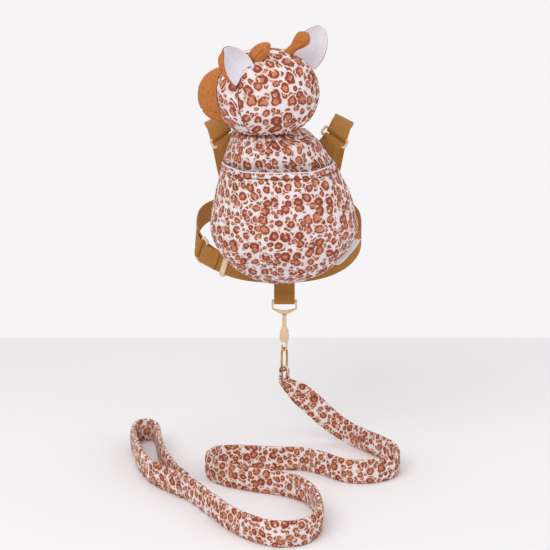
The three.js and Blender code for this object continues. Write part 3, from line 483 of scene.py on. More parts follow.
def wire_ring(middle, side, along, face, size, bar, corners, blunt, counts):
    """A ring: a blunted round bar carried round a blunted oval of the given outer size."""
    flat = round_section(size[0] - bar, size[1] - bar, corners, counts[0])
    line = evenly_round(middle + side * flat[:, :1] + along * flat[:, 1:], counts[0])
    forward = unit(np.roll(line, -1, 0) - np.roll(line, 1, 0))
    section = round_section(bar, bar, blunt, counts[1])
    across = unit(np.cross(forward, np.broadcast_to(face, line.shape)))
    grid = line[:, None] + across[:, None] * section[:, :1] + face * section[:, 1:]
    walked = walk(np.vstack([line, line[:1]]))
    uv = np.stack(np.meshgrid(walk(np.vstack([section, section[:1]])), walked), -1)
    return tube(grid, uv, closed=True)


def band(inner, outer, depth, blunt, count):
    """A closed band between two outlines: a blunted oval that is wide between them and deep across them."""
    b = turn(count)
    share = (0.5 + 0.5 * power(np.cos(b), blunt))[:, None, None]
    return inner * (1 - share) + outer * share, (power(np.sin(b), blunt) * depth / 2)[:, None]


def thread_line(path, radius, look=1):
    """A sewing thread or a narrow edging: a small round section along a line."""
    section = round_section(2 * radius, 2 * radius, 1, 8)
    return sweep(path, unit(np.cross(slopes(path), THREAD_LEAN)), section, look)


# Materials. Grain: scale to the metre, detail, roughness, where it starts and ends to show, and how much
GRAIN = {
    "pile": (900, 2, 0.7, 0.42, 0.66, 0.05), "soft": (45, 2, 0.5, 0.3, 0.75, 1),
    "clumps": (420, 3, 0.65, 0.32, 0.68, 1), "fibre": (1100, 2, 0.7, 0.45, 0.75, 0.1),
    "worn": (38, 2, 0.5, 0.4, 0.75, 0.22), "threads": (1500, 2, 0.7, 0.45, 0.8, 0.4),
    "faded": (70, 2, 0.5, 0.35, 0.75, 0.25), "twist": (2600, 2, 0.6, 0, 1, 1),
    "flow": (120, 3, 0.55, 0.3, 0.75, 1), "dust": (2200, 2, 0.6, 0.5, 0.8, 0.16),
    "scratch": (2500, 3, 0.7, 0, 1, 1), "dull": (160, 2, 0.5, 0.35, 0.7, 1),
    "soil": (150, 2, 0.5, 0.4, 0.8, 0.2), "paper": (3, 2, 0.5, 0, 1, 1),
}
# Noise in the print on flat cloth: scale to the spots' distance, detail, roughness
PRINT = {"drift": (0.55, 2, 0.5), "fine": (4.2, 3, 0.62), "mottled": (7.5, 2, 0.6), "broken": (2.1, 1, 0.5)}
PRINT_DRIFT, CELL_RANDOM = 0.55, 0.8
# Spots: ragged edge, teeth round the core, the core's random share, and edges in shares of the radius
RAGGED, TEETH, CORE_RANDOM = 0.26, 0.7, 0.34
SPOT_EDGE, CORE_EDGE, HALO_EDGE, ROOM_EDGE = (1.05, 0.84), (0.20, -0.16), (1.55, 0.95), (1.12, 1.28)
# Large and small spots: least and most radius and the core, then the small ones' distance and shift
LARGE, SMALL, SMALL_SHARE, SMALL_SHIFT = (0.30, 0.50, 0.40), (0.27, 0.50, 0.38), 0.54, (0.37, 0.19, 0.0)
CORE_MOTTLE, RIM_OPEN, RIM_MOTTLE, RIM_PALE = (0.30, 0.50, 0.6, 1.0), (0.66, 0.73, 0.0, 0.85), (0.4, 0.7), 1.3
# Tint of the painted shade where the soft relief noise is high, the pale fibre tips, the sheen's tint, and
# white
PAINTED_SHADE_TINT, TIPS, TIP_SHEEN, WHITE = (0.90, 0.89, 0.90), (0.95, 0.90, 0.92), (1.0, 0.96, 0.97), (1.0, 1.0, 1.0)
# Woven cloth: the pitch of its ribs, rows and twill in metres, and their shares of the relief
RIB, ROW, TWILL, TWILL_SHIFT, WEAVE = 0.00125, 0.0019, 0.0025, 1.3, (0.40, 0.45, 0.30)
# Where the painted shade in the weave's grooves fades out, from low to high relief, and the webbing's sheen
# tint
WEAVE_GROOVE_SHADE, WEBBING_SHEEN = (-0.9, 0.7), (0.9, 0.7, 0.45)
# Label: the pitch of its warp and weft, and the weave's range over which its painted shade fades out
LABEL_WARP, LABEL_WEFT, LABEL_WEAVE_SHADE = 0.0005, 0.0007, (-0.8, 0.8)
DEPTH_RED, DEPTH_GREEN, DEPTH_BLUE = 0.004, 0.003, 0.002


class Nodes:
    """A short way to write a material's nodes.

    A value is a number, a colour or another node's output, and most functions give an output.
    """

    def __init__(self, name):
        self.material = bpy.data.materials.new(name)
        self.material.use_nodes = True
        self.tree = self.material.node_tree
        self.shader = self.tree.nodes["Principled BSDF"]

    def feed(self, socket, value):
        if isinstance(value, bpy.types.NodeSocket):
            self.tree.links.new(value, socket)
        else:
            socket.default_value = (*value, 1) if socket.type == "RGBA" else value

    def add(self, kind, values, **settings):
        node = self.tree.nodes.new(kind)
        for key, value in settings.items():
            setattr(node, key, value)
        for key, value in values.items():
            self.feed(node.inputs[key], value)
        return node

    def cloth(self):
        return self.add("ShaderNodeUVMap", {}, uv_map="cloth").outputs[0]

    def body(self, stretch=1.0):
        place = self.add("ShaderNodeTexCoord", {}).outputs["Object"]
        if stretch == 1.0:
            return place
        return self.add("ShaderNodeMapping", {"Vector": place, "Scale": (1.0, 1.0, stretch)}).outputs[0]

    def math(self, operation, *values):
        return self.add("ShaderNodeMath", dict(enumerate(values)), operation=operation).outputs[0]

    def total(self, *terms):
        """The sum of values, each times its share."""
        added = self.math("MULTIPLY", *terms[0])
        for value, share in terms[1:]:
            added = self.math("MULTIPLY_ADD", value, share, added)
        return added

    def about(self, value, width, middle=0.0):
        """A value from 0 to 1 spread over a width round a middle."""
        return self.math("MULTIPLY_ADD", value, width, middle - width / 2)

    def less(self, value):
        """One less the value."""
        return self.math("SUBTRACT", 1.0, value)

    def wave(self, value, pitch):
        """A sine along a length in metres."""
        return self.math("SINE", self.math("MULTIPLY", value, TURN / pitch))

    def vector(self, operation, first, second):
        key = "Scale" if operation == "SCALE" else 1
        return self.add("ShaderNodeVectorMath", {0: first, key: second}, operation=operation).outputs[0]

    def step(self, value, low, high, to_low=0.0, to_high=1.0):
        values = {"Value": value, "From Min": low, "From Max": high, "To Min": to_low, "To Max": to_high}
        return self.add("ShaderNodeMapRange", values, interpolation_type="SMOOTHSTEP").outputs[0]

    def mix(self, factor, a, b, blend="MIX"):
        values = {0: factor, 6: a, 7: b}
        return self.add("ShaderNodeMix", values, data_type="RGBA", blend_type=blend).outputs[2]

    def noise(self, place, scale, detail, roughness, dimensions, output="Fac"):
        values = {"Vector": place, "Scale": scale, "Detail": detail, "Roughness": roughness}
        return self.add("ShaderNodeTexNoise", values, noise_dimensions=dimensions).outputs[output]

    def grain(self, kind, place, scale=1.0):
        size, detail, roughness = GRAIN[kind][:3]
        return self.noise(place, size * scale, detail, roughness, "3D")

    def shows(self, kind, grain):
        low, high, most = GRAIN[kind][3:]
        return self.step(grain, low, high, 0.0, most)

    def pattern(self, kind, place, spacing, output="Fac"):
        size, detail, roughness = PRINT[kind]
        return self.noise(place, size / spacing, detail, roughness, "2D", output)

    def set(self, **values):
        for key, value in values.items():
            self.feed(self.shader.inputs[key.replace("_", " ")], value)

    def sheen(self, weight, roughness, tint):
        self.set(Sheen_Weight=weight, Sheen_Roughness=roughness, Sheen_Tint=tint)

    def bump(self, height, strength, distance):
        node = self.add("ShaderNodeBump", {"Height": height, "Strength": strength, "Distance": distance})
        self.set(Normal=node.outputs[0])
        return self.material


def tint(colour, share, more=0.0):
    """A colour times a share, plus a little, and at most one."""
    return [min(1, c * share + more) for c in colour]


def spot_layer(n, place, fine, spacing, least, most, core):
    """One layer of rosettes: a cell's distance over its own random radius, with a ragged edge.

    Gives the spot, its lighter core and the halo round it, each from 0 to 1, and the distance.
    """
    cells = n.add("ShaderNodeTexVoronoi", {"Vector": place, "Scale": 1 / spacing, "Randomness": CELL_RANDOM},
                  feature="F1", voronoi_dimensions="2D")
    random = n.add("ShaderNodeSeparateColor", {"Color": cells.outputs["Color"]}).outputs
    radius = n.math("MULTIPLY_ADD", random[0], most - least, least)
    t = n.math("DIVIDE", n.math("ADD", cells.outputs["Distance"], n.about(fine, RAGGED)), radius)
    lighter = n.about(random[1], CORE_RANDOM, core)
    middle = n.step(n.math("SUBTRACT", n.math("ADD", t, n.about(fine, TEETH)), lighter), *CORE_EDGE)
    return n.step(t, *SPOT_EDGE), middle, n.step(t, *HALO_EDGE), t


def spotted_plush(name, settings, spacing, warmth=0.75):
    """Plush with rust rosettes: two sizes of spots on a pale ground, on the piece's own map; painted shade
    follows the soft relief.
    """
    n = Nodes(name)
    place, body = n.cloth(), n.body()
    away = n.vector("SUBTRACT", n.pattern("drift", place, spacing, "Color"), (0.5, 0.5, 0.5))
    bent = n.vector("ADD", place, n.vector("SCALE", away, spacing * PRINT_DRIFT))
    fine, mottled, broken = (n.pattern(kind, place, spacing) for kind in ("fine", "mottled", "broken"))
    spot, core, halo, t = spot_layer(n, bent, fine, spacing, *LARGE)
    shifted = n.vector("ADD", bent, SMALL_SHIFT)
    small, small_core, small_halo, _ = spot_layer(n, shifted, fine, spacing * SMALL_SHARE, *SMALL)
    room = n.step(t, *ROOM_EDGE)
    small, small_halo = (n.math("MULTIPLY", value, room) for value in (small, small_halo))
    inside = n.math("MAXIMUM", n.math("MULTIPLY", core, spot), n.math("MULTIPLY", small_core, small))
    inside = n.math("MULTIPLY", inside, n.step(mottled, *CORE_MOTTLE))
    open_rim = n.math("MULTIPLY", n.step(broken, *RIM_OPEN), n.less(inside))
    every = n.math("MULTIPLY", n.math("MAXIMUM", spot, small), n.less(open_rim))
    warm = n.math("MULTIPLY", n.math("MAXIMUM", halo, small_halo), warmth)
    rim = n.mix(n.step(mottled, *RIM_MOTTLE), settings.rim, tint(settings.rim, RIM_PALE))
    printed = n.mix(every, n.mix(warm, settings.ground, settings.halo), n.mix(inside, rim, settings.core))
    pile, soft = n.grain("pile", body), n.grain("soft", body)
    # Painted shade: the print is darkened by up to a tenth where the soft relief noise is high
    shade = n.mix(1.0, printed, n.mix(n.shows("soft", soft), WHITE, PAINTED_SHADE_TINT), "MULTIPLY")
    n.set(Base_Color=n.mix(n.shows("pile", pile), shade, TIPS), Roughness=0.93, Specular_IOR_Level=0.12)
    n.sheen(weight=0.06, roughness=0.42, tint=TIP_SHEEN)
    return n.bump(n.total((pile, 0.7), (soft, 0.9)), strength=0.5, distance=0.0007)


def plain_plush(name, colour, lighter, scale=1.0, strength=0.7):
    """Brushed pile: streaks of lighter and darker fibre in one colour."""
    n = Nodes(name)
    stretched = n.body(stretch=0.42)
    clumps, fibre = n.grain("clumps", stretched, scale), n.grain("fibre", stretched, scale)
    low, high, least = GRAIN["fibre"][3:]
    base = n.mix(n.shows("clumps", clumps), tint(colour, share=1 - 0.30 * lighter), colour)
    tips = n.step(fibre, low, high, 0.0, 0.5 * lighter + least)
    light = n.mix(tips, base, tint(colour, share=1.55, more=0.02))
    worn = n.mix(n.shows("worn", n.grain("worn", n.body())), light, tint(colour, share=0.72))
    n.set(Base_Color=worn, Roughness=0.95, Specular_IOR_Level=0.12)
    n.sheen(weight=0.12, roughness=0.45, tint=tint(colour, share=1.2, more=0.35))
    return n.bump(n.total((clumps, 0.9), (fibre, 0.5)), strength, distance=0.0011)


def ribbed_webbing(name, colour):
    """Webbing: fine ribs across it and rows of warp along it, with painted shade in the grooves of the weave.
    """
    n = Nodes(name)
    across, along, _ = n.add("ShaderNodeSeparateXYZ", {"Vector": n.cloth()}).outputs
    ribs, rows = n.wave(along, RIB), n.wave(across, ROW)
    twill = n.math("SINE", n.total((rows, TWILL_SHIFT), (along, TURN / TWILL)))
    threads = n.grain("threads", n.body())
    weave = n.total(*zip((ribs, twill, rows), WEAVE))
    # Painted shade: the weave's grooves, where its relief is low, are darkened to two thirds
    dark = n.mix(n.step(weave, *WEAVE_GROOVE_SHADE), tint(colour, share=0.66), colour)
    light = n.mix(n.shows("threads", threads), dark, tint(colour, share=1.5, more=0.01))
    faded = n.mix(n.shows("faded", n.grain("faded", n.body())), light, tint(colour, share=0.8))
    n.set(Base_Color=faded, Roughness=0.78, Specular_IOR_Level=0.25)
    n.sheen(weight=0.05, roughness=0.5, tint=WEBBING_SHEEN)
    return n.bump(n.math("MULTIPLY_ADD", threads, 0.5, weave), strength=0.55, distance=0.00035)


def thread(name, colour):
    """Twisted sewing thread."""
    n = Nodes(name)
    twist = n.grain("twist", n.body())
    n.set(Base_Color=n.mix(twist, tint(colour, share=0.6), tint(colour, share=1.4)), Roughness=0.7)
    return n.bump(twist, strength=0.5, distance=0.0002)


def moulded_plastic(name, colour):
    """Satin moulded plastic with faint flow marks and a dulled, slightly dusty surface."""
    n = Nodes(name)
    flow, dust = n.grain("flow", n.body()), n.grain("dust", n.body())
    tone = n.mix(n.shows("flow", flow), colour, tint(colour, share=1.10, more=0.012))
    n.set(Base_Color=n.mix(n.shows("dust", dust), tone, tint(colour, share=0.86)),
          Roughness=n.math("MULTIPLY_ADD", flow, 0.22, 0.30), IOR=1.49, Subsurface_Weight=0.06,
          Subsurface_Radius=(DEPTH_RED, DEPTH_GREEN, DEPTH_BLUE), Subsurface_Scale=0.5)
    return n.bump(n.math("MULTIPLY_ADD", flow, 1.5, dust), strength=0.12, distance=0.0003)


def plated_metal(name, colour):
    """Plated wire: polished, with fine scratches and slightly duller patches."""
    n = Nodes(name)
    scratch, dull = n.grain("scratch", n.body(stretch=0.08)), n.grain("dull", n.body())
    n.set(Base_Color=n.mix(n.shows("dull", dull), colour, tint(colour, share=0.8)), Metallic=1.0,
          Roughness=n.total((dull, 0.22), (scratch, 0.16)))
    return n.bump(scratch, strength=0.12, distance=0.0002)


def woven_label(name, colour):
    """Satin label: fine threads along it on its own map, with painted shade where the weave is low."""
    n = Nodes(name)
    across, along, _ = n.add("ShaderNodeSeparateXYZ", {"Vector": n.cloth()}).outputs
    weave = n.math("MULTIPLY", n.wave(across, LABEL_WARP), n.wave(along, LABEL_WEFT))
    # Painted shade: a little darker where the weave is low; the soil patches take the same darker tone
    dark = tint(colour, share=0.94)
    tone = n.mix(n.step(weave, *LABEL_WEAVE_SHADE), dark, colour)
    n.set(Base_Color=n.mix(n.shows("soil", n.grain("soil", n.body())), tone, dark), Roughness=0.55)
    n.sheen(weight=0.3, roughness=0.3, tint=WHITE)
    return n.bump(weave, strength=0.4, distance=0.0002)


def paper(name, colour):
    """Matt backdrop paper."""
    n = Nodes(name)
    tone = n.mix(n.grain("paper", n.body()), colour, tint(colour, share=1.01))
    n.set(Base_Color=tone, Roughness=0.9, Specular_IOR_Level=0.15)
    return n.material


def finish_of(kind):
    """The object's materials, each made when a piece first asks for it."""
    name = kind.replace("_", "-")
    if name in bpy.data.materials:
        return bpy.data.materials[name]
    scene = bpy.context.scene
    plush, harness = scene.backpack_plush, scene.backpack_harness
    makers = {
        "body_plush": lambda: spotted_plush(name, plush, plush.body_spot),
        "head_plush": lambda: spotted_plush(name, plush, plush.head_spot),
        "lead_plush": lambda: spotted_plush(name, plush, plush.lead_spot, warmth=1.0),
        "caramel_plush": lambda: plain_plush(name, plush.caramel, lighter=1.0),
        "lining_plush": lambda: plain_plush(name, plush.lining, lighter=0.12, scale=1.2, strength=0.35),
        "ribbed_webbing": lambda: ribbed_webbing(name, harness.webbing),
        "seam_thread": lambda: thread(name, plush.rim),
        "pale_plastic": lambda: moulded_plastic(name, harness.plastic),
        "plated_metal": lambda: plated_metal(name, harness.metal),
        "bare_label": lambda: woven_label(name, harness.label),
        "paper": lambda: paper(name, scene.backpack_stage.paper),
    }
    return makers[kind]()


# Stage
def area_light(name, place, aim, size, colour, watts):
    """A large soft light at a place in metres, turned to its aim."""
    lamp = bpy.data.lights.new(name, "AREA")
    lamp.shape, lamp.size, lamp.size_y = "RECTANGLE", size, size
    lamp.energy, lamp.color = watts, colour
    holder = bpy.data.objects.new(name, lamp)
    bpy.context.scene.collection.objects.link(holder)
    holder.location = place
    holder.rotation_euler = (Vector(aim) - Vector(place)).to_track_quat("-Z", "Y").to_euler()


def air_light(settings):
    """Even light from all sides, which shows as the plain wall where the camera looks past the floor."""
    world = bpy.context.scene.world or bpy.data.worlds.new("air")
    bpy.context.scene.world = world
    world.use_nodes = True
    nodes, links = world.node_tree.nodes, world.node_tree.links
    even, seen = nodes["Background"], nodes.new("ShaderNodeBackground")
    mix, path = nodes.new("ShaderNodeMixShader"), nodes.new("ShaderNodeLightPath")
    for node, colour, strength in ((even, AIR_COLOUR, settings.air), (seen, settings.backdrop, 1)):
        node.inputs["Color"].default_value = (*colour, 1)
        node.inputs["Strength"].default_value = strength
    for i, output in enumerate((path.outputs["Is Camera Ray"], even.outputs[0], seen.outputs[0])):
        links.new(output, mix.inputs[i])
    links.new(mix.outputs[0], nodes["World Output"].inputs[0])


def add_camera(context):
    """The camera of the photo, level from side to side and tilted down."""
    camera = bpy.data.cameras.new("camera")
    camera.lens, camera.sensor_width, camera.sensor_fit = CAMERA_LENS, CAMERA_SENSOR, "HORIZONTAL"
    camera.clip_start, camera.clip_end = CAMERA_NEAR, CAMERA_FAR
    holder = bpy.data.objects.new("camera", camera)
    context.scene.collection.objects.link(holder)
    holder.location = [c * MM for c in CAMERA_PLACE]
    holder.rotation_euler = (math.pi / 2 - math.radians(CAMERA_PITCH), 0, 0)
    context.scene.camera = holder


def add_floor(context, far):
    """The floor: a flat square grid that ends in the line where the photo's wall begins."""
    lines = [np.linspace(-FLOOR_REACH, end, FLOOR_LINES) for end in (FLOOR_REACH, far)]
    x, y = np.meshgrid(*lines)
    sheet = part(np.stack([x, y, np.full_like(x, FLOOR - FLOOR_DROP)], -1), flip=True)
    mesh = bpy.data.meshes.new("floor")
    mesh.from_pydata((sheet["points"] * MM).tolist(), [], sheet["quads"].tolist())
    mesh.materials.append(finish_of("paper"))
    floor = bpy.data.objects.new("floor", mesh)
    context.scene.collection.objects.link(floor)


class BACKPACK_OT_stage(Operator):
    """Make the camera, the floor, the lights and the plain wall of air"""

    bl_idname = "backpack.stage"
    bl_label = "Stage"

    def execute(self, context):
        settings = context.scene.backpack_stage
        add_camera(context)
        add_floor(context, settings.floor_end / MM)
        for name, values in LIGHTS.items():
            area_light(name, *values, getattr(settings, name))
        air_light(settings)
        context.scene.view_settings.view_transform = "Standard"
        return {"FINISHED"}


# Lead
def lead_grid(path, gathered, seed):
    """A flat stuffed tube: a blunted oval, thinner at its two edges, carried along the path.

    Its width stays as upright as the path lets it. Its faces swell and sink a little along the
    length, the sewn edge puckers, and the width grows from the gathered share over the first stretch.
    """
    walked, along, a = walk(path), slopes(path), turn(LEAD_SIDES)
    side = unit(UP - along * along[:, 2:])
    face = np.cross(along, side)
    share = (gathered + (1 - gathered) * smoothstep(walked, 0, GATHER_LENGTH))[:, None]
    lumps = LEAD_LUMPS[0] * line_noise(walked, LEAD_LUMPS[1], seed)[:, None]
    puckers = LEAD_PUCKERS[0] * line_noise(walked, LEAD_PUCKERS[1], seed + 1)[:, None]
    across = power(np.cos(a), LEAD_BLUNT)
    wide = (LEAD_WIDTH / 2 + np.minimum(puckers, 0) * (np.cos(a) > LEAD_SEWN)) * share * across
    folds = LEAD_FOLDS * np.sin(FOLDS_COUNT * a) * (1 - smoothstep(walked, *FOLDS_END))[:, None]
    tight = DIMPLE + DIMPLE_CHANGE[0] * line_noise(walked, DIMPLE_CHANGE[1], seed + 2)[:, None]
    dimple = tight * np.sign(np.sin(a)) * bump(np.abs(across), DIMPLE_AT, DIMPLE_WIDTH)
    thick = (LEAD_THICK / 2 + lumps + folds) * power(np.sin(a), LEAD_FACE_BLUNT) - dimple
    grid = path[:, None] + side[:, None] * wide[..., None] + face[:, None] * thick[..., None]
    grid[..., 2] = np.maximum(grid[..., 2], FLOOR + LEAD_REST)
    middle = grid[len(path) // 2]
    return grid, np.stack(np.meshgrid(walk(np.vstack([middle, middle[:1]])), walked), -1)


def lead_tube(name, route, count, gathered, node, seed):
    """One length of the lead as a free cord, with both ends closed."""
    path = curve_through(route, count)
    tube_of_cloth = make(name, tube(*lead_grid(path, gathered, seed)), ["lead_plush"], "spotted_plush", node)


def lead_end_parts():
    """The gathered end that goes over the metal ring's low wire, both legs down into the lead."""
    side, front = link_axes()
    low = link_places()[2] + UP * (LINK_WIRE - LINK_HEIGHT) / 2
    radius = LINK_WIRE / 2 + GAP + END_SLACK + END_THICK / 2
    few, many, sides = END_POINTS
    a = np.linspace(0, math.pi, many)[:, None]
    leg = np.linspace(-END_LEG, 0, few, endpoint=False)[:, None]
    path = np.vstack([
        front * radius + UP * leg, radius * (front * np.cos(a) + UP * np.sin(a)),
        UP * leg[::-1] - front * radius,
    ])
    return sweep(low + path, side, round_section(END_WIDTH, END_THICK, END_BLUNT, sides))


class BACKPACK_OT_lead(Operator):
    """Make the padded lead, its hand loop and its gathered end"""

    bl_idname = "backpack.lead"
    bl_label = "Lead and hand loop"

    def execute(self, context):
        lying, loop = (np.array([(x, y, LEAD_MIDDLE) for x, y in row]) for row in (LEAD_LYING, LOOP_LYING))
        route = np.vstack([LEAD_HANGING, lying])
        end = make("gathered_end", lead_end_parts(), ["lead_plush"], "spotted_plush", "lead_end")
        lead_tube("padded_lead", route, LEAD_POINTS, LEAD_GATHERED, "lead", 3)
        lead_tube("padded_hand_loop", loop, LOOP_POINTS, 1.0, "hand_loop", 8)
        return {"FINISHED"}


# Bag
def body_surface(z, angle, inset, gather):
    """The bag's D-shaped surface: its half width times cosine and its depth times sine, blunted.

    The neck's gathers are a cosine of the angle that grows towards the top.
    """
    share = (z - BODY_BOTTOM) / BODY_HEIGHT
    half = BODY_WIDTH / 2
    reach = np.maximum(through_rows(BODY_SECTIONS, HALF, share) * half - inset, 0)
    grown = smoothstep(z, BODY_TOP - GATHER_HEIGHT, BODY_TOP) * np.sin(angle)
    ripple = gather * np.cos(2 * GATHERS * angle) * grown
    depth = np.maximum(through_rows(BODY_SECTIONS, DEEP, share) * BODY_DEPTH - inset + ripple, 0)
    x = through_rows(BODY_SECTIONS, LEAN, share) * half + reach * power(np.cos(angle), 2 / SQUARENESS)
    y = -PANEL - GAP - depth * np.maximum(np.sin(angle), 0) ** (2 / SQUARENESS)
    return np.stack([x, y, z + 0 * x], -1)


def cloth_map(grid, start=0.0):
    """The cloth's own map: its length along each row from the middle, and up the middle column."""
    steps = np.linalg.norm(np.diff(grid, axis=1), axis=2)
    u = np.concatenate([np.zeros((len(grid), 1)), np.cumsum(steps, 1)], 1)
    middle = grid.shape[1] // 2
    u = u - u[:, middle:middle + 1]
    return np.stack([u, start + walk(grid[:, middle])[:, None] + 0 * u], -1)


def body_angles():
    """Angles from the right edge to the left one, closer together near both edges."""
    t = np.linspace(0, 1, BODY_COLUMNS)
    return (math.pi * (t - CROWDING * np.sin(TURN * t) / TURN))[None]


def relieved(surface, z, angle, more):
    """A panel's surface moved out by its relief, and kept behind the back panel; also the relief.

    Stuffed cloth isn't even: broad lumps, and short puckers along the edges and the bottom seam.
    """
    sine = np.sin(angle)
    lumps = sum(height * noise(surface, size, seed) for height, size, seed in LUMPS)
    stretched = np.stack([angle * TUCK_STRETCH + 0 * z, z / TUCK_STRETCH + 0 * angle], -1)
    low = TUCK_LOW * (1 - smoothstep(z, BODY_BOTTOM, BODY_BOTTOM + TUCK_REACH)) * sine
    tucks = noise(stretched, TUCK_SIZE, TUCK_SEED) * (TUCK_EDGE * (1 - sine) ** 3 + low)
    relief = (lumps * sine ** 0.5 + tucks + more * sine)[..., None]
    move = grid_normals(surface) * relief
    outer = surface + move
    outer[..., 1] = np.minimum(outer[..., 1], -PANEL - GAP)
    return outer, move * (relief < 0)


def pocket_parts(gather):
    """The pocket panel: its outside from the bottom to the rolled hem, then its inside back down."""
    angle = body_angles()
    count, near_count, hem_count = POCKET_ROWS
    near = HEM_LINE - np.linspace(HEM_START, 0, near_count, endpoint=False)
    low = BODY_BOTTOM + (near[0] - 1 - BODY_BOTTOM) * (1 - np.cos(np.linspace(0, math.pi / 2, count)))
    band_z = HEM_LINE + HEM_HEIGHT * np.linspace(HEM_BEND, 1, hem_count)
    z = np.concatenate([low, near, band_z])[:, None]
    lift = END_LIFT * smoothstep(np.abs(np.cos(angle)), *END_LIFT_AT) * smoothstep(z, END_LIFT_FROM, HEM_TOP)
    roll = (z - HEM_LINE) / HEM_HEIGHT
    hem = HEM_PROUD * np.clip(1 - (2 * roll - 1) ** ROLL_EDGE, 0, 1) * (roll > 0)
    sewn_z = HEM_LINE - STITCH_BELOW
    stitch = STITCH_DEPTH * bump(z, sewn_z, STITCH_WIDTH)
    waves = line_noise(angle * HEM_WAVE_TURN + 0 * z, HEM_WAVE_SIZE, HEM_WAVE_SEED)
    waves = HEM_WAVE * waves * smoothstep(z, HEM_WAVE_FROM, HEM_TOP)
    surface = body_surface(z, angle, 0 * z, gather)
    outer, _ = relieved(surface, z, angle, hem - stitch + waves)
    outer[..., 2] += lift
    inner_z = np.maximum(z[::-1], BODY_BOTTOM + PLUSH)
    inner = body_surface(inner_z, angle, PLUSH + 0 * inner_z, 0)
    inner[..., 2] += lift[::-1]
    edge = np.linspace(0, math.pi, HEM_EDGE)[1:-1, None, None]
    middle, half = (outer[-1] + inner[0]) / 2, (outer[-1] - inner[0]) / 2
    grid = np.concatenate([outer, middle + half * np.cos(edge) + UP * HEM_ROUND * np.sin(edge), inner])
    sewn = int(np.argmin(np.abs(z[:, 0] - sewn_z)))
    stitches = (outer + grid_normals(surface) * STITCH_PROUD)[sewn, STITCH_SKIP:-STITCH_SKIP]
    edging = outer[-1, EDGING_SKIP:-EDGING_SKIP] + EDGING_PLACE
    return [
        part(grid, cloth_map(grid), flip=True), side_wall(outer, inner, 0), side_wall(outer, inner, -1),
        *thread_line(evenly(stitches, HEM_POINTS), STITCH_THREAD),
        *thread_line(evenly(edging, HEM_POINTS), EDGING, look=2),
    ]


def side_wall(outer, inner, column):
    """The thin wall that joins the outside and the inside along one side of a panel."""
    back = inner[::-1]
    rows = np.linspace(0, len(back) - 1, len(outer)).round().astype(int)
    grid = np.stack([outer[:, column], back[rows][:, column]], 1)
    return part(grid, cloth_map(grid), flip=column == 0)


def upper_parts(gather):
    """The upper panel: tucked behind the pocket's hem, gathered at the neck and closed on top."""
    angle = body_angles()
    sine = np.sin(angle)
    hidden_count, count, top_count = UPPER_ROWS
    hidden = np.linspace(HEM_TOP - TUCK, HEM_TOP, hidden_count, endpoint=False)
    z = np.append(hidden, np.linspace(HEM_TOP, BODY_TOP, count))[:, None]
    free = smoothstep(z, HEM_TOP + GAP, HEM_TOP + GAP + HEM_HEIGHT)
    inset = (PLUSH + GAP) * (1 + (sine - 1) * free) + MOUTH_GAP * sine
    inset = inset - REST_OUT * smoothstep(z - HEM_TOP, *REST) * sine
    inset = inset + NECK_TOP[0] * smoothstep(z, BODY_TOP - NECK_TOP[1], BODY_TOP) ** 2
    surface = body_surface(z, angle, inset, gather)
    x = surface[..., 0]
    fold_x = FOLD_X + (z - FOLD_Z) * FOLD_LEAN + FOLD_WANDER[0] * np.sin(z / FOLD_WANDER[1])
    fold = -FOLD_DEPTH * bump(x, fold_x, FOLD_WIDTH) * bump(z, FOLD_MIDDLE, FOLD_HEIGHT)
    swell = SWELL * sum(bump(x, *place) for place in SWELLS) * bump(z, FOLD_MIDDLE, SWELL_HEIGHT)
    waves = np.cos(NECK_WAVES * GATHERS * angle + NECK_SHIFT) * smoothstep(z, NECK_FROM, BODY_TOP)
    fine = NECK_FINE * gather * waves
    outer, dents = relieved(surface, z, angle, fold + swell + fine)
    shrink = np.linspace(1, 0, top_count)[1:, None, None]
    heart = np.array([outer[-1, :, 0].mean(), -PANEL - GAP, BODY_TOP])
    top = heart + (outer[-1] - heart) * shrink
    top[..., 2] = BODY_TOP - NECK_ROUND * (1 - shrink[..., 0] ** 2)
    inner = body_surface(z[::-1] - NECK_ROUND, angle, inset[::-1] + PLUSH, 0) + dents[::-1]
    grid = np.concatenate([outer, top])
    foot = np.stack([inner[-1], outer[0]])
    return [part(grid, cloth_map(grid, PRINT_START), flip=True), part(inner, cloth_map(inner), flip=True),
            part(foot, cloth_map(foot), flip=True)]


def back_parts():
    """The flat back panel: the bag's outline filled towards its middle, with a rounded edge."""
    t, across = np.linspace(0, 1, BACK_GRID[0])[:, None], np.linspace(-1, 1, BACK_GRID[1])
    lean, half = (through_rows(BODY_SECTIONS, column, t) * BODY_WIDTH / 2 for column in (LEAN, HALF))
    x = lean + half * across
    z = BODY_BOTTOM + BODY_HEIGHT * t + 0 * x
    height, size, seed = QUILT
    quilt = np.minimum(height * noise(np.stack([x, z], -1), size, seed), 0)
    edge = np.clip(1 - np.abs(across) ** BACK_EDGE[0], 0, 1) * smoothstep(t, 0, BACK_EDGE[1])
    back = np.stack([x, -PANEL / 2 + (PANEL / 2 + quilt) * edge, z], -1)
    front = np.stack([x, -PANEL / 2 - PANEL / 2 * edge, z], -1)
    return [part(back, back[..., ::2]), part(front, front[..., ::2], flip=True)]


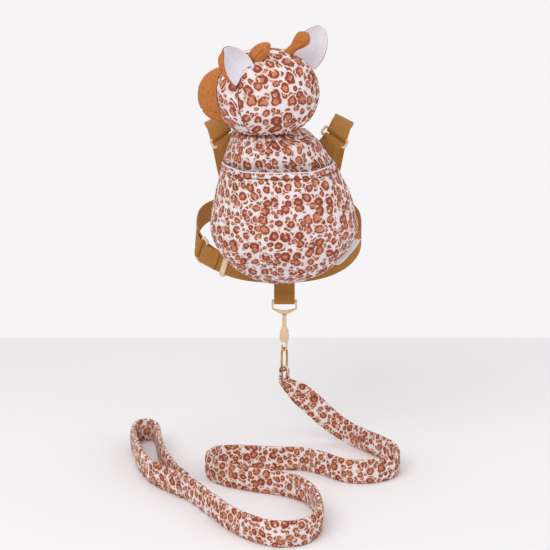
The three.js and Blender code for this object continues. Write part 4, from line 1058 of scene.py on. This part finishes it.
def label_parts():
    """The label: a thin strip that follows the bag's edge, folded at its outer side."""
    t = np.linspace(0, 1, LABEL_GRID[0])[:, None]
    z = LABEL_LOW + (LABEL_HIGH - LABEL_LOW) * t
    share = (z - BODY_BOTTOM) / BODY_HEIGHT
    edge = sum(through_rows(BODY_SECTIONS, column, share) for column in (LEAN, HALF)) * BODY_WIDTH / 2
    reach = np.linspace(-LABEL_UNDER, LABEL_OUT, LABEL_GRID[1])
    droop = LABEL_DROOP * smoothstep(reach, 0, LABEL_OUT) * np.sin(math.pi * t)
    middle = (LABEL_OUT - LABEL_UNDER) / 2
    span = np.clip(1 - ((reach - middle) / (LABEL_OUT - middle + THIN_EDGE)) ** LABEL_EDGE, 0, 1)
    swell = LABEL_THICK / 2 * np.clip(1 - np.abs(2 * t - 1) ** LABEL_EDGE, 0, 1) * span
    x, y = edge + reach, GAP + LABEL_THICK / 2 - droop
    front, back = (np.stack([x, y + way * swell, z + 0 * x], -1) for way in (-1, 1))
    uv = np.stack(np.meshgrid(reach, z[:, 0]), -1)
    return [part(front, uv, flip=True), part(back, uv)]


class BACKPACK_OT_bag(Operator):
    """Make the plush bag: its pocket, upper panel, back panel and label"""

    bl_idname = "backpack.bag"
    bl_label = "Bag"

    def execute(self, context):
        gather = context.scene.backpack_plush.gather / MM
        plush = ["body_plush", "seam_thread", "lining_plush"]
        pocket = make("plush_pocket", pocket_parts(gather), plush, "spotted_plush", "pocket_panel")
        upper = make("plush_upper", upper_parts(gather), plush[:1], "spotted_plush", "upper_panel")
        back = make("plush_back", back_parts(), plush[:1], "spotted_plush", "back_panel")
        label = make("bare_side_label", label_parts(), ["bare_label"], "label", "side_label")
        return {"FINISHED"}


# Head
def head_parts(seam_depth):
    """The stuffed head: an ellipsoid by longitude and latitude, with seams from pole to pole.

    A seam is a narrow bell-shaped groove along a meridian with short puckers beside it, and the
    cloth between two seams has a map of its own: longitude times the cosine of latitude.
    """
    lat = np.linspace(-math.pi / 2, math.pi / 2, HEAD_ROWS)[:, None]
    many, sway, few = CHIN_WAVES
    height, size, seed = HEAD_LUMPS
    parts = []
    for start, end in zip(HEAD_SEAMS, (*HEAD_SEAMS[1:], HEAD_SEAMS[0] + 360)):
        degrees = np.linspace(start, end, int((end - start) / HEAD_STEP) + 1)
        lon = np.radians(degrees)[None]
        away = np.stack([np.sin(lon) * np.cos(lat), -np.cos(lon) * np.cos(lat), np.sin(lat) + 0 * lon], -1)
        grid = HEAD_MIDDLE + away * HEAD_HALF
        groove = sum(bump(degrees, seam, SEAM_WIDTH) for seam in (start, end))
        beside = sum(bump(np.abs(degrees - seam), *BESIDE) for seam in (start, end))
        puckers = line_noise(lat * PUCKER_WAVES + 0 * lon, 1.0, int(start) + PUCKER_SEED)
        gathers = 0.5 - np.abs(np.sin(many * lon + sway * np.sin(few * lon)))
        relief = PUCKER * puckers * beside - seam_depth * groove * np.cos(lat) ** SEAM_FADE
        relief = relief + CHIN_GATHER * gathers * (1 - smoothstep(lat, *CHIN))
        relief = relief + height * noise(grid, size, seed)
        normal = unit(away / HEAD_HALF)
        grid = grid + normal * relief[..., None]
        grid[..., 2] = np.maximum(grid[..., 2], BODY_TOP + GAP + NECK_FLAT * (grid[..., 2] - BODY_TOP))
        u = (lon - math.radians((start + end) / 2)) * np.cos(lat) * HEAD_HALF[0]
        v = lat * HEAD_HALF[2] + 0 * lon + start
        parts.append(part(grid, np.stack([u, v], -1), flip=True))
        if start < SEEN_SEAMS:
            parts += thread_line((grid + normal * SEAM_PROUD)[SEAM_SKIP:-SEAM_SKIP, 0], SEAM_THREAD)
    return parts


def muzzle_parts(seam_depth):
    """The muzzle: an ellipsoid on the head's side, with a seam round its lower part."""
    lat = np.linspace(-math.pi / 2, math.pi / 2, MUZZLE_GRID[0])[:, None]
    lon = turn(MUZZLE_GRID[1])[None]
    away = np.stack([np.cos(lat) * np.cos(lon), np.cos(lat) * np.sin(lon), np.sin(lat) + 0 * lon], -1)
    height, size, seed, spread = MUZZLE_LUMPS
    groove = seam_depth * bump(lat + MUZZLE_TILT * np.cos(lon), MUZZLE_SEAM, MUZZLE_SEAM_WIDTH)
    relief = height * noise(away * spread, size, seed) - groove
    grid = HEAD_MIDDLE + MUZZLE_PLACE * HEAD_HALF + away * MUZZLE_HALF + away * relief[..., None]
    return [part(clear_of_head(grid), None, (False, True), flip=True)]


def horn_parts(foot, aim, almond, seam_at, seam_depth):
    """A horn: its sections turned about its length, with one seam along it and a row of puckers."""
    up = unit(np.array(aim, float))
    across = unit(np.cross(up, HORN_LEAN))
    t, a = np.linspace(0, 1, HORN_GRID[0])[:, None], turn(HORN_GRID[1])
    radius = HORN_WAIST + (HORN_BULB - HORN_WAIST) * through_rows(HORN_SECTIONS, 1, t)
    start, run, blunt = HORN_ALMOND
    leaf = HORN_LEAF * np.sin(math.pi * (start + run * t)).clip(0, 1) ** blunt
    radius = radius * domed(t, HORN_DOME) * (1 - almond) + leaf * almond
    groove = HORN_GROOVE * seam_depth * bump(a, seam_at, HORN_SEAM_WIDTH) * np.sin(math.pi * t)
    puckers = HORN_PUCKER * np.sin(t * HORN_PUCKERS) * bump(a, seam_at, PUCKER_WIDTH)
    wide = radius - groove + puckers * (radius > HORN_BARE)
    ring = np.cos(a)[:, None] * across + np.sin(a)[:, None] * np.cross(up, across)
    base = HEAD_MIDDLE + np.array(foot) * HEAD_HALF
    return tube(clear_of_head(base + up * (t * HORN_LENGTH)[..., None] + ring * wide[..., None]))[:2]


def ear_axes(ear):
    """The ear's length, width and face, at right angles to each other."""
    reach = unit(np.array(ear["reach"], float))
    across = unit(np.cross(reach, ear["face"]))
    return reach, across, np.cross(across, reach)


def ear_sheet(ear, offset, rows, columns, widen=1.0):
    """A cupped leaf: half its width is a blunted sine of its length, and its middle bows back."""
    reach, across, face = ear_axes(ear)
    v = np.linspace(EAR_START, EAR_END, rows)[:, None]
    u = np.linspace(-1, 1, columns)[None]
    start, run, blunt = EAR_LEAF
    half = widen * ear["width"] / 2 * np.sin(math.pi * (start + run * v)) ** blunt
    bow = ear["cup"] * (u * u - 1) * np.sin(math.pi * (EAR_BOW[0] + EAR_BOW[1] * v))
    root = HEAD_MIDDLE + np.array(ear["root"]) * HEAD_HALF
    away = reach * (ear["length"] * (v - EAR_START))[..., None] + across * (half * u)[..., None]
    return root + away + face * (bow + offset)[..., None]


def ear_parts(ear, low, high, crease):
    """One layer of an ear: two leaves a wall apart, joined by a rounded edge on all sides."""
    rows, columns = EAR_GRID
    widen = EAR_WIDEN if low < 0 else 1.0
    back, front = (ear_sheet(ear, offset, rows, columns, widen) for offset in (low, high))
    v, u = np.linspace(0, 1, rows)[:, None], np.linspace(-1, 1, columns)[None]
    rounded = np.clip(1 - np.abs(u) ** EAR_EDGE[0], 0, 1) * np.clip(1 - v ** EAR_EDGE[1], 0, 1)
    rounded = np.sqrt(rounded)
    place, drift, width = CREASE
    fold = crease * bump(u, place - drift * v, width) * np.sin(math.pi * v)
    half = (front - back) / 2
    middle = (back + front) / 2 - unit(half) * fold[..., None]
    front, back = (middle + way * half * rounded[..., None] for way in (1, -1))
    foot = np.stack([back[0], front[0]])
    return [part(clear_of_head(sheet), flip=sheet is back) for sheet in (front, back, foot)]


def ear_roll(ear):
    """The ear's rolled outer edge: a round section that tapers towards the root, beside its left edge."""
    _, across, face = ear_axes(ear)
    edge = clear_of_head(ear_sheet(ear, 0, ROLL_GRID[0], 3)[ROLL_SKIP:, 0], GAP + 1)
    t, a = np.linspace(0, 1, len(edge))[:, None], turn(ROLL_GRID[1])[:, None]
    radius = ROLL * t ** ROLL_TAPER * domed(t, ROLL_DOME) + ROLL_LEAST
    path = edge - across * radius * ROLL_INSET + face * ROLL_PROUD
    return tube(path[:, None] + (across * np.cos(a) + face * np.sin(a)) * radius[..., None])


class BACKPACK_OT_head(Operator):
    """Make the stuffed head, the muzzle, both horns and both ears"""

    bl_idname = "backpack.head"
    bl_label = "Head"

    def execute(self, context):
        seam = context.scene.backpack_plush.seam / MM
        caramel = (["caramel_plush"], "caramel_plush")
        head = make("plush_head", head_parts(seam), ["head_plush", "seam_thread"], "spotted_plush", "head")
        muzzle = make("plush_muzzle", muzzle_parts(seam), *caramel, "muzzle")
        for hand, ear in EARS.items():
            horned = horn_parts(**HORNS[hand], seam_depth=seam)
            horn = make(f"plush_horn_{hand}", horned, *caramel, f"horn_{hand}")
            outside = ear_parts(ear, -EAR_WALL, 0, 0) + (ear_roll(ear) if hand == "left" else [])
            back = make(f"plush_ear_{hand}", outside, *caramel, f"ear_{hand}")
            inside = ear_parts(ear, GAP, GAP + LINING_WALL, EAR_CREASE)
            lining = make(
                f"plush_ear_lining_{hand}", inside, ["lining_plush"], "ear_plush", f"ear_lining_{hand}")
        return {"FINISHED"}


# Harness
def girth(degrees, thick):
    """The waist strap's line: a blunted oval round the wearer, low behind the bag and higher in front."""
    a = np.radians(np.asarray(degrees, float))
    u = power(np.sin(a), 2 / GIRTH["squareness"])
    v = -power(np.cos(a), 2 / GIRTH["squareness"])
    z = STRAP_HIGH + (STRAP_LOW - STRAP_HIGH) * ((1 + np.cos(a)) / 2) ** STRAP_RISE
    y = GIRTH["back"] + thick / 2 + GAP + GIRTH["depth"] / 2 * (1 + v)
    point = np.stack([GIRTH["centre"] + GIRTH["width"] / 2 * u, y, z], -1)
    steep = GIRTH["squareness"] - 1
    out = np.stack([power(u, steep) / GIRTH["width"], power(v, steep) / GIRTH["depth"], 0 * u], -1)
    return point, unit(out)


def girth_path(start, end, count, thick):
    """Points along the waist strap between two angles, with their three directions."""
    angles = np.linspace(start, end, count)
    point, out = girth(angles, thick)
    step = (end - start) / count / 2
    along = unit(girth(angles + step, thick)[0] - girth(angles - step, thick)[0])
    return point, along, unit(np.cross(out, along)), out


def girth_frame(angle, thick):
    """One point of the waist strap, with its three directions."""
    return (values[0] for values in girth_path(angle, angle + 1, 2, thick))


def fold_over(point, side, out, end, along, out_end, thick):
    """A half turn round a ring's bar, then a short tail back along the strap's outer side."""
    a = np.linspace(0, math.pi, BEND_POINTS)[:, None]
    bend = end + FOLD_RADIUS * (out_end * (1 - np.cos(a)) + along * np.sin(a))
    distance = np.linalg.norm(point - end, axis=1)
    near = distance < FOLD_TAIL
    near[-1] = False
    lift = 2 * FOLD_RADIUS + (thick + GAP - 2 * FOLD_RADIUS) * smoothstep(distance / FOLD_TAIL, 0, TAIL_RISE)
    tail = (point + out * lift[:, None])[near][::-1]
    bend_side = np.broadcast_to(np.cross(out_end, along), bend.shape)
    return np.vstack([point, bend, tail]), np.vstack([side, bend_side, side[near][::-1]])


def webbing_strip(path, side, width, thick):
    """Webbing: a flat section with round selvedges, thicker at both edges, carried along the path."""
    section = round_section(width, thick, STRAP_BLUNT, STRAP_SIDES)
    edge = np.abs(section[:, 0]) / (width / 2)
    section[:, 1] *= 1 + SELVEDGE * smoothstep(edge, *SELVEDGE_AT)
    along = slopes(path)
    return sweep(path, unit(side - along * (side * along).sum(1, keepdims=True)), section)


def place_ring(middle, side, along, out):
    """A rectangular ring with rounded corners, flat to the out direction."""
    size = (RING_WIDTH, RING_SLOT + 2 * RING_BAR)
    return wire_ring(middle, side, along, out, size, RING_BAR, RING_CORNERS, RING_BLUNT, RING_GRID)


def waist_pieces(thick):
    """The ring of the waist strap, the long strap and the adjuster strap that it joins."""
    point, along, side, out = girth_frame(RING_ANGLE, thick)
    bar = along * (RING_SLOT + RING_BAR) / 2
    path, _, sides, outs = girth_path(0, 360 + RING_ANGLE - RING_REACH, WAIST_POINTS[0], thick)
    long = fold_over(path, sides, outs, point - bar, along, out, thick)
    path, _, sides, outs = girth_path(ADJUSTER_ANGLE, RING_ANGLE + RING_REACH, WAIST_POINTS[1], thick)
    short = fold_over(path, sides, outs, point + bar, -along, out, thick)
    return place_ring(point + out * FOLD_RADIUS, side, along, out), long, short


def shoulder_frame(point, along):
    """Across and out directions of a shoulder strap, from the chest's middle."""
    chest = GIRTH["back"] + GIRTH["depth"] / 2
    out = unit(np.stack([
        (point[..., 0] - GIRTH["centre"]) * SHOULDER_EASE, point[..., 1] - chest,
        np.maximum(point[..., 2] - CHEST_HEIGHT, 0)], -1))
    side = unit(np.cross(out, along))
    return side, unit(np.cross(along, side))


def shoulder_point(hand, row, thick):
    """A point of a shoulder strap from its three shares."""
    return np.array([
        GIRTH["centre"] + hand * row[0] * SHOULDER_SPREAD,
        thick / 2 + GAP + row[1] * GIRTH["depth"], row[2] * SHOULDER_TOP])


def shoulder_pieces(hand, thick):
    """One side's ring, the strap over the shoulder and the short piece sewn to the bag."""
    climb = [shoulder_point(hand, row, thick) for row in SHOULDER_SEWN]
    over = [shoulder_point(hand, row, thick) for row in SHOULDER_OVER]
    middle = shoulder_point(hand, SHOULDER_RING, thick)
    along = unit(over[0] - climb[-1])
    side, out = shoulder_frame(middle, along)
    bar = along * (RING_SLOT + RING_BAR) / 2
    foot, foot_out = girth(hand * FOOT_ANGLE, thick)
    landing = foot + foot_out * (thick + 2 * GAP)
    path = curve_through(np.array([
        middle + bar + along * RING_EASE, *over, landing + UP * LANDING_RISE, landing,
        landing - UP * LANDING_DROP]), SHOULDER_POINTS[0])
    sides, outs = shoulder_frame(path, slopes(path))
    strap = fold_over(path[::-1], -sides[::-1], outs[::-1], middle + bar, -along, out, thick)
    sewn = curve_through(np.array([*climb, middle - bar - along * RING_EASE]), SHOULDER_POINTS[1])
    short = fold_over(sewn, *shoulder_frame(sewn, slopes(sewn)), middle - bar, along, out, thick)
    return place_ring(middle + out * FOLD_RADIUS, side, along, out), strap, short


def keeper_parts(width, thick):
    """The keeper: a rounded rectangular band round the strap, square to it."""
    point, along, side, out = girth_frame(KEEPER_ANGLE, thick)
    outer = round_section(KEEPER_WIDTH, KEEPER_THICK, KEEPER_OUTER, KEEPER_GRID[1])
    inner = round_section(width + 4 * GAP, thick + 2 * GAP, KEEPER_INNER, KEEPER_GRID[1])
    flat, depth = band(inner, outer, KEEPER_LENGTH, KEEPER_BLUNT, KEEPER_GRID[0])
    grid = point + side * flat[..., :1] + out * flat[..., 1:] + along * depth[..., None]
    return [part(grid, None, (True, True), flip=True)]


def webbing_piece(name, strap, width, thick, node):
    """A strap of webbing along its path."""
    return make(name, webbing_strip(*strap, width, thick), ["ribbed_webbing"], "webbing", node)


class BACKPACK_OT_harness(Operator):
    """Make the waist strap, the shoulder straps, their rings and the keeper"""

    bl_idname = "backpack.harness"
    bl_label = "Harness"

    def execute(self, context):
        settings = context.scene.backpack_harness
        width, thick = settings.width / MM, settings.thick / MM
        plastic = (["pale_plastic"], "plastic")
        ring, long, short = waist_pieces(thick)
        webbing_piece("webbing_waist", long, width, thick, "waist_strap")
        webbing_piece("webbing_adjuster", short, width, thick, "adjuster_strap")
        make("moulded_waist_ring", ring, *plastic, "waist_ring")
        make("moulded_keeper", keeper_parts(width, thick), *plastic, "tail_keeper")
        for hand, sign in (("left", -1), ("right", 1)):
            ring, strap, sewn = shoulder_pieces(sign, thick)
            make(f"moulded_shoulder_ring_{hand}", ring, *plastic, f"shoulder_ring_{hand}")
            webbing_piece(f"webbing_shoulder_{hand}", strap, width, thick, f"shoulder_strap_{hand}")
            webbing_piece(f"webbing_bag_{hand}", sewn, width, thick, f"bag_strap_{hand}")
        return {"FINISHED"}


# Tether
def link_axes():
    """The metal ring's width and the way that it faces, level and at right angles."""
    a = math.radians(LINK_TURN)
    return np.array([math.cos(a), math.sin(a), 0]), np.array([math.sin(a), -math.cos(a), 0])


def link_places():
    """The hook frame's bar, the hook's lowest point and the metal ring's middle."""
    thick = bpy.context.scene.backpack_harness.thick / MM
    bar = np.array([TETHER_X, thick / 2 + GAP - FOLD_RADIUS, TAB_END + FOLD_RADIUS + thick / 2])
    under = bar[2] - FRAME_DROP - FRAME_POINT - GAP - HOOK_LENGTH
    low = under - TONGUE_DROP - TONGUE_RADIUS + TONGUE_THICK / 2
    return bar, under, np.array([bar[0], bar[1], low + LINK_WIRE - LINK_HEIGHT / 2])


def tab_strap(thick):
    """The tab: down behind the bag, round the hook's bar and up in front of itself."""
    bar = link_places()[0]
    back, face = thick / 2 + GAP, bar[1] - FOLD_RADIUS
    few, every = TAB_POINTS
    a = np.linspace(0, math.pi, few)
    down = np.stack([0 * a + back, np.linspace(TAB_TOP, bar[2], few, endpoint=False)], 1)
    bend = np.stack([bar[1] + FOLD_RADIUS * np.cos(a), bar[2] - FOLD_RADIUS * np.sin(a)], 1)
    rise, close = np.array(TAB_FRONT).T
    top = BODY_BOTTOM - PLUSH
    front = np.stack([face + (back - thick - GAP - face) * close, bar[2] + (top - bar[2]) * rise], 1)
    line = np.vstack([down, bend, front])
    path = evenly(np.column_stack([np.full(len(line), TETHER_X), line]), every)
    return path, np.broadcast_to(np.array([1.0, 0, 0]), path.shape)


def frame_outline(right, soften, angles, heart):
    """A closed outline round the heart, read along rays, from the corners of its right half.

    Its corners are softened by repeated averaging of neighbours.
    """
    corners = np.array([*right, *[(-x, z) for x, z in right[::-1]]], float)
    line = evenly_round(corners, FRAME_POINTS[0])
    for _ in range(soften):
        line = (np.roll(line, 1, 0) + 2 * line + np.roll(line, -1, 0)) / 4
    rays = np.stack([np.sin(angles), np.cos(angles)], 1)
    return heart + rays * ray_reach(line - heart, angles)[:, None]


def ray_reach(outline, angles):
    """How far the outline lies from the middle along each ray, read between its own points."""
    at = np.arctan2(outline[:, 0], outline[:, 1]) % TURN
    order = np.argsort(at)
    far = np.linalg.norm(outline, axis=1)[order]
    at = at[order]
    return np.interp(angles, np.concatenate([at - TURN, at, at + TURN]), np.tile(far, 3))


def hook_frame_parts():
    """The hook's frame: a rounded bar whose section is stretched between an inner and an outer outline."""
    bar = link_places()[0]
    w, i = FRAME_WIDTH / 2, FRAME_WIDTH / 2 - FRAME_SIDE
    top = bar[2] + FRAME_BAR / 2
    mid = top - FRAME_BAR - FRAME_DROP
    tip = bar[2] - FRAME_DROP - FRAME_POINT
    under, web = top - FRAME_BAR, tip + FRAME_WEB
    outside = [(THIN_EDGE, top), (w, top), (w, mid), (FRAME_TIP, tip), (THIN_EDGE, tip)]
    inside = [(THIN_EDGE, under), (i, under), (i, mid + FRAME_STEP), (FRAME_NOTCH, web), (THIN_EDGE, web)]
    heart, angles = np.array([0, mid + FRAME_HEART]), turn(FRAME_POINTS[1])
    outer, inner = (
        frame_outline(right, soften, angles, heart) for right, soften in zip((outside, inside), FRAME_SOFTEN))
    flat, depth = band(inner, outer, FRAME_THICK, FRAME_BLUNT, FRAME_POINTS[2])
    grid = np.stack([bar[0] + flat[..., 0], bar[1] + depth + 0 * angles, flat[..., 1]], -1)
    return [part(grid, None, (True, True)), rivet(bar + UP * (tip + FRAME_WEB / 2 + RIVET_RISE - bar[2]))]


def rivet(middle):
    """A low round head in front of the frame: its height is a blunted cosine of its radius."""
    t, a = np.linspace(0, 1, RIVET_GRID[0])[:, None], turn(RIVET_GRID[1])[None]
    r = RIVET_RADIUS * np.sin(t * math.pi / 2)
    y = RIVET_SUNK * (t == 1) - RIVET_PROUD * np.cos(t * math.pi / 2) ** RIVET_BLUNT - FRAME_THICK / 2
    grid = middle + np.stack([r * np.cos(a), y + 0 * a, r * np.sin(a)], -1)
    return part(grid, None, (False, True), flip=True)


def hook_body_parts():
    """The hook's body: its sections turned about its upright middle."""
    bar, under, _ = link_places()
    t, a = np.linspace(0, 1, HOOK_GRID[0])[:, None], turn(HOOK_GRID[1])
    radius = HOOK_SHANK + (HOOK_BODY - HOOK_SHANK) * through_rows(HOOK_SECTIONS, 1, t)
    z = under + HOOK_LENGTH * (1 - t) + 0 * a
    return tube(np.stack([bar[0] + radius * np.cos(a), bar[1] + radius * np.sin(a), z], -1))


def tongue_parts():
    """The hook's tongue: a flat strip down, under the ring's wire and up again."""
    bar, under, _ = link_places()
    side, front = link_axes()
    few, many, every, sides = TONGUE_POINTS
    a = np.linspace(0, math.pi, many)
    down = np.concatenate([
        np.linspace(0, TONGUE_DROP, few, endpoint=False), TONGUE_DROP + TONGUE_RADIUS * np.sin(a),
        [TONGUE_DROP - TONGUE_HOOK]])
    forward = np.concatenate([np.full(few, TONGUE_RADIUS), TONGUE_RADIUS * np.cos(a), [-TONGUE_RADIUS]])
    path = np.array([bar[0], bar[1], under - GAP]) + front * forward[:, None] - UP * down[:, None]
    section = round_section(TONGUE_WIDTH, TONGUE_THICK, TONGUE_BLUNT, sides)
    return sweep(evenly(path, every), side, section)


def link_parts():
    """The metal ring: round wire carried along a blunted oval, turned half away."""
    side, front = link_axes()
    size, blunt = (LINK_WIDTH, LINK_HEIGHT), (LINK_BLUNT, LINK_BLUNT)
    return wire_ring(link_places()[2], side, UP, front, size, LINK_WIRE, blunt, 1, LINK_GRID)


class BACKPACK_OT_tether(Operator):
    """Make the tether tab, the snap hook and the metal ring"""

    bl_idname = "backpack.tether"
    bl_label = "Tether"

    def execute(self, context):
        settings = context.scene.backpack_harness
        width, thick = settings.width / MM, settings.thick / MM
        plastic = (["pale_plastic"], "plastic")
        webbing_piece("webbing_tab", tab_strap(thick), width, thick, "tether_tab")
        make("moulded_hook_frame", hook_frame_parts(), *plastic, "hook_frame")
        make("moulded_hook_body", hook_body_parts(), *plastic, "hook_body")
        make("moulded_hook_tongue", tongue_parts(), *plastic, "hook_tongue")
        make("plated_lead_ring", link_parts(), ["plated_metal"], "gold", "lead_ring")
        return {"FINISHED"}


# Add-on
class BACKPACK_PT_panel(Panel):
    """Lists the steps that build the backpack"""

    bl_idname = "BACKPACK_PT_panel"
    bl_label = "Harness backpack"
    bl_space_type = "VIEW_3D"
    bl_region_type = "UI"
    bl_category = "Backpack"

    def draw(self, context):
        for step in STEPS:
            self.layout.operator(step.bl_idname)


SETTINGS = {
    "backpack_plush": PlushSettings, "backpack_harness": HarnessSettings, "backpack_stage": StageSettings,
}
STEPS = (
    BACKPACK_OT_stage, BACKPACK_OT_lead, BACKPACK_OT_bag, BACKPACK_OT_head, BACKPACK_OT_harness,
    BACKPACK_OT_tether,
)
CLASSES = (*SETTINGS.values(), *STEPS, BACKPACK_PT_panel)


def register():
    for entry in CLASSES:
        bpy.utils.register_class(entry)
    for name, group in SETTINGS.items():
        setattr(bpy.types.Scene, name, PointerProperty(type=group))


def unregister():
    for name in SETTINGS:
        delattr(bpy.types.Scene, name)
    for entry in reversed(CLASSES):
        bpy.utils.unregister_class(entry)


def main():
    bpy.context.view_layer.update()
    register()
    bpy.ops.backpack.stage()
    bpy.ops.backpack.lead()
    bpy.ops.backpack.bag()
    bpy.ops.backpack.head()
    bpy.ops.backpack.harness()
    bpy.ops.backpack.tether()


if __name__ == "__main__":
    main()
